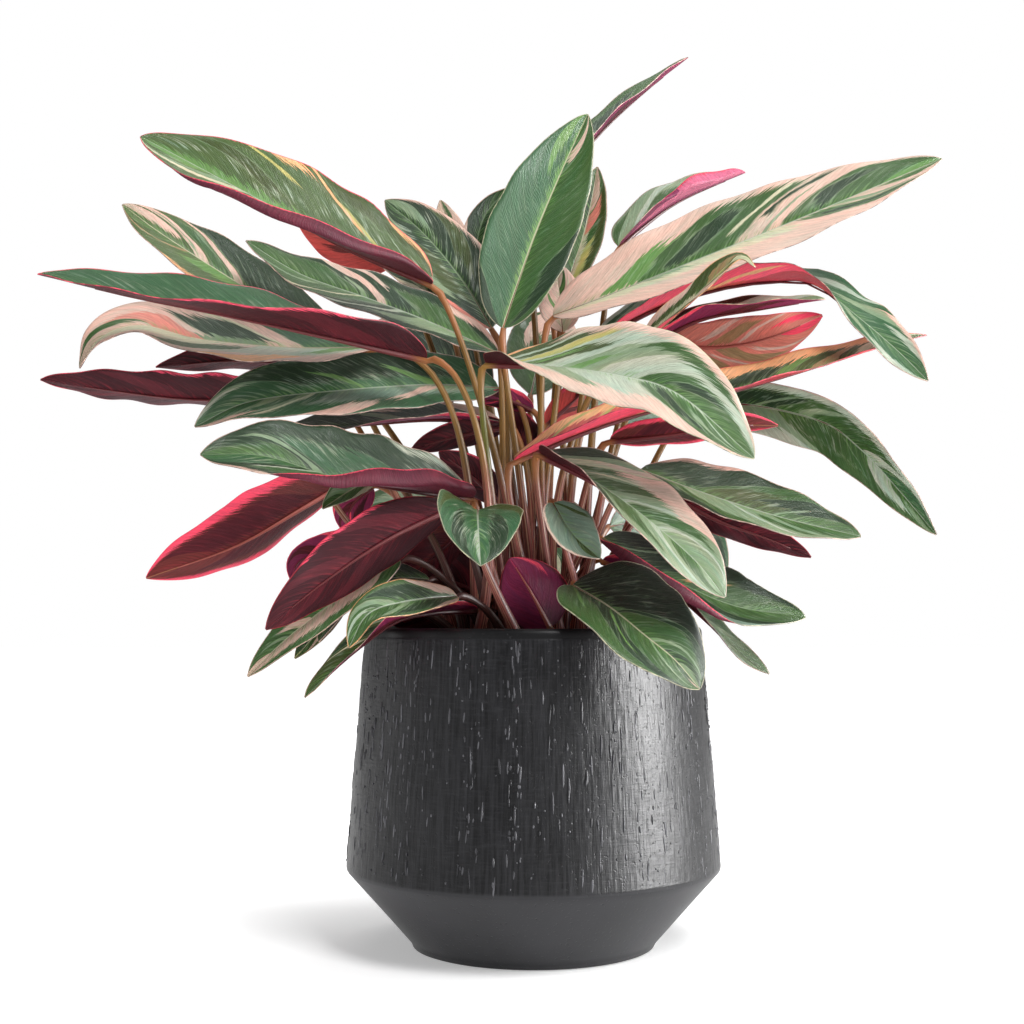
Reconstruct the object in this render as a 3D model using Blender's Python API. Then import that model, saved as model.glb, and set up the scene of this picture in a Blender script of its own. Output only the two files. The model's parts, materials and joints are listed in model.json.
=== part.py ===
"""A potted Stromanthe Triostar: a dark tapered pot, its soil, and the leaves on their stalks."""

import math
import random

import bmesh
import bpy
from mathutils import Vector
from mathutils.bvhtree import BVHTree

MM = 0.001

# Pot, in millimetres: outer radii and heights
POT_HEIGHT = 228
RIM_RADIUS = 120
SHOULDER_RADIUS = 134
SHOULDER_HEIGHT = 58
FOOT_RADIUS = 88
LIP_ROUND = 3
FOOT_ROUND = 4
SHOULDER_ROUND = 3
POT_WALL = 6
POT_FLOOR = 8
POT_SIDES = 48

# Soil
SOIL_HEIGHT = 208
SOIL_CROWN = 5
ROOT_DEPTH = 18
HOLE_MOUTH = 4
CLEARANCE = 0.3

# Leaf stalks: radius where they leave the soil and where they meet the blade
STALK_FOOT_RADIUS = 4.4
STALK_TOP_RADIUS = 2.3
STALK_STATIONS = (0.0, 0.12, 0.38, 0.62, 0.8, 0.92)

# Crown of the plant: the patch of soil where the stalks stand, and the room each has there
CROWN_CENTRE = (8, -4)
CROWN_REACH = (66, 60)
CROWN_BORDER = 26
STALK_SPACING = 14
LEAN = (0.36, 0.6)
UPRIGHT_SHARE = 0.34
LONGEST_BEND = 0.4
STALK_STEPS = 16
LONG_STALK = 150
SWAY_STEPS = (9, 18, 28, 38, 50)
SWAY_WAYS = 12
SWAY_ROUNDS = 30
SWAY_LOOSENESS = 20
SWAY_SEED = 5
LEAF_CLEARANCE = 0.5

# Blades
BLADE_THICKNESS = 0.9
BLADE_STATIONS = (0.0, 0.06, 0.16, 0.29, 0.43, 0.57, 0.71, 0.84, 0.94, 1.0)
WIDEST_FROM_BASE = 0.42
BASE_ROUNDNESS = 0.54
TIP_HALF_WIDTH = 1.2
RIB_DEPTH = 2.2
LEAF_SIDES = (("rising", 0), ("falling", 0), ("rising", 0), ("rising", 1), ("falling", 1), ("rising", 1))

# Places are given as they look from the front: x and z on the upright plane through the pot's axis,
# and y, the true depth behind that plane, along the sight line from this point.
FRONT_VIEW = Vector((0, -1120, 242))


def leaf(name, half_width, turn, fold, rib, root=None, bend=16):
    """One leaf.

    half_width: from the midrib to the margin, in mm
    turn: at base, middle and tip; 0 shows the upper face to the front, 90 faces it up, 180 shows
          the underside
    fold: at base and tip, how far each half rises from flat, in degrees
    rib: the midrib from base to tip, as (x, z, y)
    """
    return {"name": name, "half_width": half_width, "turn": turn, "fold": fold, "rib": rib,
            "root": root, "bend": bend}


LEAVES = [
    leaf("leaf_left_01", 42, (68, 56, 42), (38, 16),
         [(-73, 475, -26), (-136, 502, -50), (-204, 539, -66), (-283, 581, -62)], root=(-18, -32)),
    leaf("leaf_left_02", 30, (55, 48, 35), (15, 10),
         [(-147, 443, 70), (-200, 468, 55), (-265, 509, 40), (-296, 532, 35)]),
    leaf("leaf_left_03", 32, (118, 76, 68), (32, 26),
         [(-77, 421, -45), (-147, 437, -75), (-218, 452, -95), (-290, 466, -105), (-357, 482, -110)],
         root=(-34, -46)),
    leaf("leaf_left_04", 34, (62, 58, 70), (15, 14),
         [(-116, 429, -12), (-175, 429, -30), (-240, 435, -44), (-283, 445, -54), (-312, 436, -62),
          (-327, 414, -66)], root=(-36, -14), bend=80),
    leaf("leaf_left_05", 26, (112, 118, 136), (20, 14),
         [(-139, 392, 45), (-240, 392, 25), (-301, 398, 5), (-355, 406, -10)]),
    leaf("leaf_left_06", 34, (50, 46, 38), (16, 12),
         [(-25, 400, 32), (-75, 402, 12), (-139, 398, -20), (-204, 390, -46), (-244, 372, -60)]),
    leaf("leaf_left_07", 27, (80, 74, 60), (22, 16),
         [(-22, 374, 32), (-67, 378, 16), (-118, 374, -2), (-184, 368, -14)]),
    leaf("leaf_left_08", 38, (68, 58, 32), (40, 14),
         [(-44, 321, -34), (-96, 328, -66), (-147, 337, -90), (-195, 351, -106), (-240, 352, -112)],
         root=(-12, -40)),
    leaf("leaf_left_09", 30, (132, 140, 146), (24, 18),
         [(-138, 331, 10), (-168, 313, -8), (-215, 286, -30), (-279, 263, -45)], root=(-50, 14)),
    leaf("leaf_left_10", 12, (150, 150, 150), (18, 14),
         [(-125, 292, 38), (-154, 282, 20), (-170, 274, 8), (-175, 261, 2)], root=(-50, 30)),
    leaf("leaf_left_11", 24, (150, 152, 150), (20, 12),
         [(-60, 313, -66), (-107, 290, -90), (-154, 258, -106), (-193, 226, -116)], root=(-30, -46)),
    leaf("leaf_left_12", 16, (30, 30, 30), (14, 12),
         [(-96, 276, -55), (-139, 249, -72), (-179, 218, -85), (-206, 192, -90)]),
    leaf("leaf_left_13", 9, (40, 35, 30), (14, 12),
         [(-136, 242, -2), (-155, 224, -12), (-172, 205, -18)], root=(-54, -4)),
    leaf("leaf_left_14", 18, (82, 78, 50), (30, 20),
         [(-41, 241, -42), (-72, 239, -62), (-100, 232, -76), (-128, 211, -86), (-148, 193, -92),
          (-165, 177, -95)]),
    leaf("leaf_left_15", 16, (50, 42, 30), (18, 12),
         [(-55, 250, -84), (-92, 246, -114), (-119, 237, -131), (-133, 213, -137)], root=(-34, -54)),
    leaf("leaf_left_16", 24, (160, 160, 155), (14, 12),
         [(-42, 305, -2), (-75, 276, -12), (-107, 248, -20)], root=(-20, -10)),
    leaf("leaf_left_17", 17, (62, 56, 50), (16, 12),
         [(-75, 262, -32), (-107, 262, -40), (-139, 243, -46), (-155, 217, -50)]),
    leaf("leaf_left_18", 12, (40, 42, 40), (22, 16),
         [(-110, 338, -25), (-132, 326, -40), (-152, 313, -50)], root=(-46, -28)),
    leaf("leaf_left_19", 14, (168, 168, 165), (16, 14),
         [(-116, 329, 30), (-130, 316, 27), (-137, 296, 24)], root=(-40, 16)),
    leaf("leaf_left_20", 18, (130, 130, 130), (18, 12),
         [(-147, 416, 70), (-211, 420, 60), (-272, 415, 50)]),
    leaf("leaf_top_01", 26, (24, 20, 20), (14, 10),
         [(-30, 443, 32), (-51, 477, 36), (-78, 510, 40), (-107, 535, 42)]),
    leaf("leaf_top_02", 15, (15, 12, 10), (20, 12),
         [(-46, 463, 78), (-58, 505, 84), (-67, 535, 86)]),
    leaf("leaf_top_03", 13, (20, 20, 20), (18, 12),
         [(-46, 470, 60), (-37, 519, 62), (-18, 544, 64)]),
    leaf("leaf_top_04", 34, (16, 15, 16), (16, 12),
         [(-22, 443, -2), (-13, 470, 4), (1, 510, 12), (19, 553, 20), (39, 597, 24)]),
    leaf("leaf_top_05", 22, (74, 76, 80), (24, 18),
         [(0, 524, 55), (42, 578, 68), (77, 611, 78), (111, 638, 85)]),
    leaf("leaf_top_06", 17, (12, 10, 10), (20, 14),
         [(23, 470, 45), (35, 506, 50), (42, 535, 55), (46, 559, 58)]),
    leaf("leaf_top_07", 26, (72, 74, 72), (30, 22),
         [(61, 502, 40), (77, 516, 48), (105, 535, 60), (152, 555, 75)]),
    leaf("leaf_top_08", 38, (52, 50, 46), (20, 12),
         [(14, 452, 5), (55, 467, -8), (120, 493, -22), (192, 522, -35), (294, 565, -45)]),
    leaf("leaf_top_09", 24, (165, 165, 165), (12, 10),
         [(-102, 490, 66), (-136, 508, 70), (-175, 531, 72)]),
    leaf("leaf_top_10", 26, (56, 54, 48), (12, 10),
         [(-26, 425, 2), (-74, 447, 8), (-118, 464, 17), (-168, 482, 26), (-207, 506, 31)]),
    leaf("leaf_top_11", 10, (40, 40, 40), (16, 12),
         [(-67, 463, 50), (-92, 480, 50), (-116, 495, 50)]),
    leaf("leaf_top_12", 17, (0, 0, 0), (18, 12),
         [(21, 440, 28), (19, 463, 32), (16, 490, 36)]),
    leaf("leaf_right_01", 31, (62, 93, 2), (26, 14),
         [(48, 438, 25), (91, 459, 15), (134, 472, 5), (174, 477, -5), (203, 474, -15),
          (235, 450, -35), (264, 425, -50), (284, 405, -60)]),
    leaf("leaf_right_02", 12, (62, 62, 60), (20, 14),
         [(77, 434, -40), (113, 463, -68), (145, 492, -88), (160, 487, -92)]),
    leaf("leaf_right_03", 18, (86, 85, 80), (30, 22),
         [(84, 433, -6), (120, 450, -20), (163, 457, -38), (210, 464, -56)], root=(34, -2)),
    leaf("leaf_right_04", 20, (168, 170, 172), (14, 10),
         [(92, 430, -4), (134, 429, -12), (170, 436, -20), (208, 452, -28)]),
    leaf("leaf_right_05", 24, (80, 72, 60), (28, 20),
         [(-14, 348, -55), (34, 368, -52), (84, 384, -46), (141, 397, -40), (213, 418, -32),
          (253, 431, -26), (283, 438, -24)], root=(-2, -36)),
    leaf("leaf_right_06", 40, (100, 46, 38), (24, 12),
         [(-34, 418, -55), (8, 416, -80), (62, 409, -112), (105, 395, -135), (159, 349, -150)],
         root=(-30, -32)),
    leaf("leaf_right_07", 22, (10, -28, -28), (20, 14),
         [(113, 383, 16), (150, 388, 6), (206, 376, -20), (235, 356, -36), (264, 325, -48),
          (290, 294, -56)]),
    leaf("leaf_right_08", 14, (140, 140, 140), (20, 14),
         [(55, 362, -30), (105, 367, -45), (141, 373, -55), (176, 373, -58)]),
    leaf("leaf_right_09", 32, (74, 58, 22), (34, 12),
         [(5, 353, -75), (48, 330, -105), (84, 304, -130), (116, 276, -145), (138, 249, -150)]),
    leaf("leaf_right_10", 30, (56, 54, 46), (18, 14),
         [(77, 341, -35), (120, 325, -50), (177, 307, -62), (236, 293, -68)]),
    leaf("leaf_right_11", 14, (150, 150, 150), (16, 12),
         [(100, 322, 4), (134, 304, -8), (170, 291, -18), (200, 278, -24)], root=(36, 12)),
    leaf("leaf_right_12", 34, (58, 56, 46), (20, 12),
         [(50, 292, -36), (84, 271, -50), (141, 244, -62), (196, 235, -62)]),
    leaf("leaf_right_13", 37, (40, 38, 26), (26, 12),
         [(28, 258, -84), (55, 242, -112), (80, 222, -130), (102, 204, -139), (120, 183, -142)],
         root=(44, -46)),
    leaf("leaf_right_14", 16, (115, 86, 30), (24, 14),
         [(50, 276, 0), (91, 261, -12), (123, 234, -24), (145, 212, -32), (170, 194, -36)]),
    leaf("leaf_right_15", 30, (10, 10, 10), (26, 14),
         [(-40, 312, -78), (-40, 303, -115), (-38, 272, -140)]),
    leaf("leaf_right_16", 17, (30, 30, 24), (24, 14),
         [(14, 317, -95), (28, 295, -110), (48, 277, -118)], root=(38, -48)),
    leaf("leaf_right_17", 25, (176, 178, 178), (14, 10),
         [(12, 227, -60), (-2, 253, -64), (-17, 277, -58)], root=(4, -48)),
    leaf("leaf_back_01", 32, (0, 0, 0), (14, 10),
         [(-2, 395, 70), (6, 425, 130), (14, 425, 200), (20, 400, 250)]),
    leaf("leaf_back_02", 30, (0, 0, 0), (14, 10),
         [(40, 380, 55), (90, 402, 110), (135, 400, 160), (170, 370, 210)]),
    leaf("leaf_back_03", 32, (0, 0, 0), (14, 10),
         [(-30, 400, 55), (-70, 425, 105), (-110, 420, 155), (-145, 380, 205)]),
    leaf("leaf_back_04", 28, (0, 0, 0), (16, 12),
         [(-40, 300, 62), (-72, 310, 105), (-108, 302, 150), (-135, 272, 195)], root=(-28, 40)),
    leaf("leaf_back_05", 28, (0, 0, 0), (16, 12),
         [(55, 300, 62), (85, 304, 100), (115, 292, 145), (138, 262, 185)]),
    leaf("leaf_back_06", 26, (0, 0, 0), (16, 12),
         [(10, 300, 70), (14, 305, 125), (14, 280, 175), (10, 235, 210)]),
    leaf("leaf_back_07", 22, (0, 0, 0), (18, 12),
         [(14, 455, 62), (14, 512, 100), (15, 560, 140)], root=(20, 28)),
]


def clear_scene():
    for item in list(bpy.data.objects):
        bpy.data.objects.remove(item, do_unlink=True)


def finish(name, colour, roughness):
    """A material with the colour and roughness of one sub-part."""
    material = bpy.data.materials.new(name)
    material.use_nodes = True
    shader = material.node_tree.nodes["Principled BSDF"]
    shader.inputs["Base Color"].default_value = (*colour, 1.0)
    shader.inputs["Roughness"].default_value = roughness
    shader.inputs["Metallic"].default_value = 0.0
    return material


def add_object(name, bm, material, smooth_angle=35):
    mesh = bpy.data.meshes.new(name)
    bm.to_mesh(mesh)
    bm.free()
    mesh.shade_smooth()
    mesh.set_sharp_from_angle(angle=math.radians(smooth_angle))
    mesh.materials.append(material)
    item = bpy.data.objects.new(name, mesh)
    bpy.context.scene.collection.objects.link(item)
    return item


def turned(outline, sides):
    """A closed solid turned round the Z axis from (radius, height) points, first and last on it."""
    bm = bmesh.new()
    verts = [bm.verts.new((radius * MM, 0, height * MM)) for radius, height in outline]
    edges = [bm.edges.new(pair) for pair in zip(verts, verts[1:])]
    bmesh.ops.spin(bm, geom=verts + edges, axis=(0, 0, 1), cent=(0, 0, 0), dvec=(0, 0, 0),
                   angle=math.tau, steps=sides, use_merge=True)
    bmesh.ops.remove_doubles(bm, verts=bm.verts, dist=0.00001)
    bmesh.ops.recalc_face_normals(bm, faces=bm.faces)
    return bm


def wall_radius(height):
    """The pot's outer radius on its straight wall, from the shoulder up to the rim."""
    share = (height - SHOULDER_HEIGHT) / (POT_HEIGHT - SHOULDER_HEIGHT)
    return SHOULDER_RADIUS + (RIM_RADIUS - SHOULDER_RADIUS) * share


def hollow_radius(height):
    """The inner radius, one wall in from the outside."""
    if height >= SHOULDER_HEIGHT:
        return wall_radius(height) - POT_WALL
    share = (height - POT_FLOOR) / (SHOULDER_HEIGHT - POT_FLOOR)
    foot = FOOT_RADIUS - POT_WALL
    return foot + (SHOULDER_RADIUS - POT_WALL - foot) * share


def arc(centre, radius, start, end, steps):
    """Points on an arc in the outline's plane, with angles in degrees."""
    points = []
    for step in range(steps + 1):
        angle = math.radians(start + (end - start) * step / steps)
        points.append((centre[0] + radius * math.cos(angle), centre[1] + radius * math.sin(angle)))
    return points


def make_pot():
    outline = [(0, 0), (FOOT_RADIUS - FOOT_ROUND, 0)]
    outline += arc((FOOT_RADIUS - FOOT_ROUND, FOOT_ROUND), FOOT_ROUND, -60, -20, 2)
    outline += arc((SHOULDER_RADIUS - SHOULDER_ROUND, SHOULDER_HEIGHT), SHOULDER_ROUND, -35, 5, 2)
    outline += arc((RIM_RADIUS - LIP_ROUND, POT_HEIGHT - LIP_ROUND), LIP_ROUND, 0, 180, 4)
    outline += [(hollow_radius(SHOULDER_HEIGHT), SHOULDER_HEIGHT), (hollow_radius(POT_FLOOR), POT_FLOOR),
                (0, POT_FLOOR)]
    bm = turned(outline, POT_SIDES)
    return add_object("pot", bm, finish("charcoal_clay", (0.045, 0.046, 0.05), 0.62))


def make_soil(stalks):
    gap = CLEARANCE
    outline = [(0, POT_FLOOR + gap),
               (hollow_radius(POT_FLOOR) - gap, POT_FLOOR + gap),
               (hollow_radius(SHOULDER_HEIGHT) - gap, SHOULDER_HEIGHT),
               (hollow_radius(SOIL_HEIGHT) - gap, SOIL_HEIGHT),
               (CROWN_REACH[0] + CROWN_BORDER, SOIL_HEIGHT + SOIL_CROWN),
               (0, SOIL_HEIGHT + SOIL_CROWN)]
    soil = add_object("soil", turned(outline, POT_SIDES), finish("soil", (0.03, 0.022, 0.017), 0.95))
    holes = bpy.data.collections.new("stem_holes")
    bpy.context.scene.collection.children.link(holes)
    for name, rings in stalks.items():
        hole = bmesh.new()
        bottom, mouth = rings
        loft(hole, [bottom, mouth])
        mesh = bpy.data.meshes.new("hole_" + name)
        hole.to_mesh(mesh)
        hole.free()
        cutter = bpy.data.objects.new("hole_" + name, mesh)
        cutter.hide_render = True
        cutter.display_type = "WIRE"
        holes.objects.link(cutter)
    cut = soil.modifiers.new("stem_holes", "BOOLEAN")
    cut.operation = "DIFFERENCE"
    cut.operand_type = "COLLECTION"
    cut.collection = holes
    cut.solver = "EXACT"
    return soil


def loft(bm, rings, sides=None):
    """A closed tube through rings of points that all have the same count, with its ends filled.

    sides: for each side, which way its faces are split, and its material's number
    """
    count = len(rings[0])
    bmesh.ops.create_grid(bm, x_segments=count, y_segments=len(rings) - 1, size=1.0)
    bm.verts.ensure_lookup_table()
    grid = list(bm.verts)
    row = count + 1
    for index, vert in enumerate(grid):
        vert.co = rings[index // row][(index % row) % count] * MM
    for station in range(len(rings) - 1):
        for side, (split, material) in enumerate(sides or ()):
            first = grid[station * row + side]
            right = grid[station * row + side + 1]
            after = grid[(station + 1) * row + side]
            across = grid[(station + 1) * row + side + 1]
            face = next(f for f in first.link_faces if across in f.verts)
            face.material_index = material
            ends = (first, across) if split == "falling" else (right, after)
            bmesh.utils.face_split(face, *ends)
    bmesh.ops.remove_doubles(bm, verts=bm.verts, dist=0.000001)
    edges = [edge for edge in bm.edges if edge.is_boundary]
    bmesh.ops.holes_fill(bm, edges=edges, sides=count)
    bmesh.ops.recalc_face_normals(bm, faces=bm.faces)


def seen(x, z, y):
    """The true place of a point given as it looks from the front, at its depth."""
    reach = (y - FRONT_VIEW.y) / -FRONT_VIEW.y
    return Vector((x * reach, y, FRONT_VIEW.z + (z - FRONT_VIEW.z) * reach))


def smooth_line(points, steps=12):
    """A Catmull-Rom curve through the points, as a dense list."""
    ends = [points[0] * 2 - points[1]] + points + [points[-1] * 2 - points[-2]]
    line = []
    for p0, p1, p2, p3 in zip(ends, ends[1:], ends[2:], ends[3:]):
        for step in range(steps):
            t = step / steps
            line.append(0.5 * (2 * p1 + (p2 - p0) * t + (2 * p0 - 5 * p1 + 4 * p2 - p3) * t * t
                               + (3 * p1 - p0 - 3 * p2 + p3) * t ** 3))
    line.append(points[-1].copy())
    return line


def along(line, share):
    """The point at a share of a line's length, and the direction there."""
    lengths = [(b - a).length for a, b in zip(line, line[1:])]
    left = share * sum(lengths)
    for index, length in enumerate(lengths):
        if left <= length or index == len(lengths) - 1:
            break
        left -= length
    point = line[index].lerp(line[index + 1], min(1.0, left / lengths[index]))
    before = line[max(0, index - 1)]
    after = line[min(len(line) - 1, index + 2)]
    return point, (after - before).normalized()


def three_way(values, share):
    """A smooth value through the ones at base, middle and tip."""
    base, middle, tip = values
    return (base * (1 - share) * (1 - 2 * share) + 4 * middle * share * (1 - share)
            + tip * share * (2 * share - 1))


def blade_share(share):
    """The blade's width at a share of its length, as a part of its full width."""
    rise = BASE_ROUNDNESS
    fall = rise * (1 - WIDEST_FROM_BASE) / WIDEST_FROM_BASE
    start = share / WIDEST_FROM_BASE
    rest = (1 - share) / (1 - WIDEST_FROM_BASE)
    return start ** rise * max(rest, 0.0) ** fall


def blade_frames(spec, stations):
    """Point, direction, upper-face normal and side direction of the midrib at each station."""
    line = smooth_line([seen(*point) for point in spec["rib"]])
    middle_point, middle_way = along(line, 0.5)
    to_front = FRONT_VIEW - middle_point
    facing = (to_front - middle_way * to_front.dot(middle_way)).normalized()
    upward = middle_way.cross(facing)
    if upward.z < 0 or (abs(upward.z) < 0.12 and upward.x > 0):
        upward = -upward
    frames = []
    for share in stations:
        point, way = along(line, share)
        to_front = FRONT_VIEW - point
        facing = (to_front - way * to_front.dot(way)).normalized()
        side = way.cross(facing)
        if side.dot(upward) < 0:
            side = -side
        turn = math.radians(three_way(spec["turn"], share))
        normal = facing * math.cos(turn) + side * math.sin(turn)
        across = side * math.cos(turn) - facing * math.sin(turn)
        frames.append((point, way, normal, across))
    return frames


def blade_ring(spec, share, frame, margin):
    """Six points round the blade: upper margin, rib and margin, then the same three beneath."""
    point, way, normal, across = frame
    half = max(TIP_HALF_WIDTH, spec["half_width"] * blade_share(share)) + margin
    fold = math.radians(spec["fold"][0] + (spec["fold"][1] - spec["fold"][0]) * share)
    thin = BLADE_THICKNESS / 2 + margin
    left_way = across * math.cos(fold) + normal * math.sin(fold)
    right_way = -across * math.cos(fold) + normal * math.sin(fold)
    left_up = normal * math.cos(fold) - across * math.sin(fold)
    right_up = normal * math.cos(fold) + across * math.sin(fold)
    rib_up = normal * (thin / math.cos(fold))
    keel = RIB_DEPTH * (1 - share) ** 2
    left = point + left_way * half
    right = point + right_way * half
    return [left + left_up * thin, point + rib_up, right + right_up * thin,
            right - right_up * thin, point - rib_up - normal * keel, left - left_up * thin]


def stalk_ring(point, way, normal, across, radius):
    """Six points round the stalk, in the same order as the blade's."""
    ring = []
    for angle in (30, 90, 150, 210, 270, 330):
        turn = math.radians(angle)
        ring.append(point + across * (radius * math.cos(turn)) + normal * (radius * math.sin(turn)))
    return ring


def stalk_curve(root, sway, base, way, bend):
    """A stalk's line: up out of the soil, swaying aside, and into the blade's base along its midrib."""
    foot = Vector((root[0], root[1], SOIL_HEIGHT + SOIL_CROWN))
    rise = (base - foot).length
    aside = Vector((sway[0], sway[1], 0)) * min(1.0, rise / LONG_STALK)
    first = foot + Vector((0, 0, UPRIGHT_SHARE * rise)) + aside
    second = base - way * min(bend, LONGEST_BEND * rise) + aside
    line = []
    for step in range(STALK_STEPS + 1):
        t = step / STALK_STEPS
        line.append(foot * (1 - t) ** 3 + first * (3 * t * (1 - t) ** 2)
                    + second * (3 * t * t * (1 - t)) + base * t ** 3)
    return line


def crown_places():
    """Places for the stalks: a staggered grid inside the crown's oval, nearest the middle first."""
    row_step = STALK_SPACING * math.sqrt(3) / 2
    rows = math.ceil(CROWN_REACH[1] / row_step)
    columns = math.ceil(CROWN_REACH[0] / STALK_SPACING) + 1
    places = []
    for row in range(-rows, rows + 1):
        shift = 0.5 * STALK_SPACING * (row % 2)
        for column in range(-columns, columns + 1):
            x = column * STALK_SPACING + shift
            y = row * row_step
            if (x / CROWN_REACH[0]) ** 2 + (y / CROWN_REACH[1]) ** 2 <= 1:
                places.append((CROWN_CENTRE[0] + x, CROWN_CENTRE[1] + y))
    return places


def choose_roots():
    """Each stalk's place in the soil: on the side to which its leaf leans.

    Places are first handed out in turn, then swapped as long as a swap brings two stalks nearer to
    where they lean, so that no two stalks cross at their feet.
    """
    wanted = []
    for spec in LEAVES:
        base = seen(*spec["rib"][0])
        wanted.append(Vector(spec["root"] or (base.x * LEAN[0], base.y * LEAN[1])))
    places = [Vector(place) for place in crown_places()]
    places.sort(key=lambda place: place.length)
    spare = [None] * (len(places) - len(wanted))
    holders = sorted(wanted, key=lambda want: want.length) + spare
    swapped = True
    while swapped:
        swapped = False
        for first in range(len(places)):
            for second in range(first + 1, len(places)):
                gain = 0.0
                for holder, here, there in ((holders[first], first, second),
                                            (holders[second], second, first)):
                    if holder is not None:
                        gain += (holder - places[here]).length_squared
                        gain -= (holder - places[there]).length_squared
                if gain > 0.001:
                    holders[first], holders[second] = holders[second], holders[first]
                    swapped = True
    roots = {}
    for spec, want in zip(LEAVES, wanted):
        index = next(i for i, holder in enumerate(holders) if holder is want)
        roots[spec["name"]] = places[index]
    return roots


def leaf_rings(spec, root, sway, margin=0.0):
    """All rings of one leaf from the bottom of its stalk to its tip, and its hole in the soil."""
    frames = blade_frames(spec, BLADE_STATIONS)
    base, way, normal, across = frames[0]
    curve = stalk_curve(root, sway, base, way, spec["bend"])
    stalk = []
    for share in reversed(STALK_STATIONS):
        point, direction = along(curve, share)
        if share == 0.0:
            direction = Vector((0, 0, 1))
        bend = way.rotation_difference(direction)
        normal = bend @ normal
        across = bend @ across
        way = direction
        radius = STALK_TOP_RADIUS + (STALK_FOOT_RADIUS - STALK_TOP_RADIUS) * (1 - share) ** 1.5 + margin
        stalk.append((point, direction, normal, across, radius))
    stalk.reverse()
    foot, direction, normal, across, radius = stalk[0]
    bottom = foot - Vector((0, 0, ROOT_DEPTH))
    rings = [stalk_ring(bottom, direction, normal, across, radius)]
    rings += [stalk_ring(*station) for station in stalk]
    rings += [blade_ring(spec, share, frame, margin) for share, frame in zip(BLADE_STATIONS, frames)]
    room = radius + 2 * CLEARANCE
    hole = (stalk_ring(bottom - Vector((0, 0, 2 * CLEARANCE)), direction, normal, across, room),
            stalk_ring(foot + Vector((0, 0, HOLE_MOUTH)), direction, normal, across, room))
    return rings, hole


def shell(rings):
    """A tree of the triangles between a leaf's rings, split as the leaf itself is."""
    count = len(LEAF_SIDES)
    points = [point for ring in rings for point in ring]
    triangles = []
    for station in range(len(rings) - 1):
        for side, (split, material) in enumerate(LEAF_SIDES):
            first = station * count + side
            right = station * count + (side + 1) % count
            after = first + count
            across = right + count
            if split == "falling":
                triangles += [(first, right, across), (first, across, after)]
            else:
                triangles += [(first, right, after), (right, across, after)]
    return BVHTree.FromPolygons(points, triangles, all_triangles=True)


def choose_sways(roots):
    """How far each stalk sways aside on its way up, so that it passes clear of every other leaf.

    A stalk that meets another leaf takes the smallest sway that meets the fewest. The order is
    loosened a little by chance, so that two stalks in each other's way don't wait for ever.
    """
    chance = random.Random(SWAY_SEED)
    ways = [(0, 0)]
    for step in SWAY_STEPS:
        for way in range(SWAY_WAYS):
            angle = math.tau * way / SWAY_WAYS
            ways.append((step * math.cos(angle), step * math.sin(angle)))
    sways = {}
    shells = {}
    for spec in LEAVES:
        name = spec["name"]
        sways[name] = ways[0]
        shells[name] = shell(leaf_rings(spec, roots[name], ways[0], LEAF_CLEARANCE)[0])
    for round_number in range(SWAY_ROUNDS):
        all_clear = True
        for spec in LEAVES:
            name = spec["name"]
            others = [tree for other, tree in shells.items() if other != name]
            fewest = sum(bool(shells[name].overlap(tree)) for tree in others)
            if fewest == 0:
                continue
            all_clear = False
            for way in sorted(ways, key=lambda way: math.hypot(*way) + chance.uniform(0, SWAY_LOOSENESS)):
                tree = shell(leaf_rings(spec, roots[name], way, LEAF_CLEARANCE)[0])
                met = sum(bool(tree.overlap(other)) for other in others)
                if met <= fewest:
                    fewest = met
                    sways[name] = way
                    shells[name] = tree
                if fewest == 0:
                    break
        if all_clear:
            break
    return sways


def make_leaf(spec, rings, upper, under):
    """Both faces are split alike, from the rib out to the margins."""
    bm = bmesh.new()
    loft(bm, rings, sides=LEAF_SIDES)
    item = add_object(spec["name"], bm, upper)
    item.data.materials.append(under)
    return item


def main():
    clear_scene()
    upper = finish("leaf_upper", (0.08, 0.18, 0.07), 0.42)
    under = finish("leaf_under", (0.10, 0.012, 0.03), 0.5)
    make_pot()
    roots = choose_roots()
    sways = choose_sways(roots)
    holes = {}
    for spec in LEAVES:
        rings, hole = leaf_rings(spec, roots[spec["name"]], sways[spec["name"]])
        holes[spec["name"]] = hole
        make_leaf(spec, rings, upper, under)
    make_soil(holes)


main()
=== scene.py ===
"""The looks of the potted prayer plant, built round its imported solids."""

import json
import math
import random

import bmesh
import bpy
from mathutils import Matrix, Vector, noise
from mathutils.bvhtree import BVHTree

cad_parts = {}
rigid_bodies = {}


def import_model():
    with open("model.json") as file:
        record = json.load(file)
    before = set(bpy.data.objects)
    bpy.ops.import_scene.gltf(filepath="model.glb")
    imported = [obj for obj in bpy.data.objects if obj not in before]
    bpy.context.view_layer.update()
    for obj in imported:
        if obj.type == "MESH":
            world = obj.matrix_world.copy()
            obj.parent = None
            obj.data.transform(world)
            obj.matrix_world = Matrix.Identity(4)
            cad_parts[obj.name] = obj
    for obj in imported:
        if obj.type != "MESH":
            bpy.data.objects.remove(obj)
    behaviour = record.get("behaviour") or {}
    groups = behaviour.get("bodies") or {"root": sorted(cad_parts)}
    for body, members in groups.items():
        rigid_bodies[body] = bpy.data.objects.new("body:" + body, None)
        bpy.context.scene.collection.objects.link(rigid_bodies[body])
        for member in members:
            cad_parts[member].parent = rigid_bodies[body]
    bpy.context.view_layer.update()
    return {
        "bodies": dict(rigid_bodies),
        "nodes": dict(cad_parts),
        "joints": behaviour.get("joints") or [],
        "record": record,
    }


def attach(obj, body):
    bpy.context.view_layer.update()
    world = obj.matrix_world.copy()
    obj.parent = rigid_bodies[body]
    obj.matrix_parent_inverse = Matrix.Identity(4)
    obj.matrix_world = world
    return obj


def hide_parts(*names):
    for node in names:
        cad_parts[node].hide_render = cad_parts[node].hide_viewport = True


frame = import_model()

MM = 0.001
MERGE = 0.00001

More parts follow.
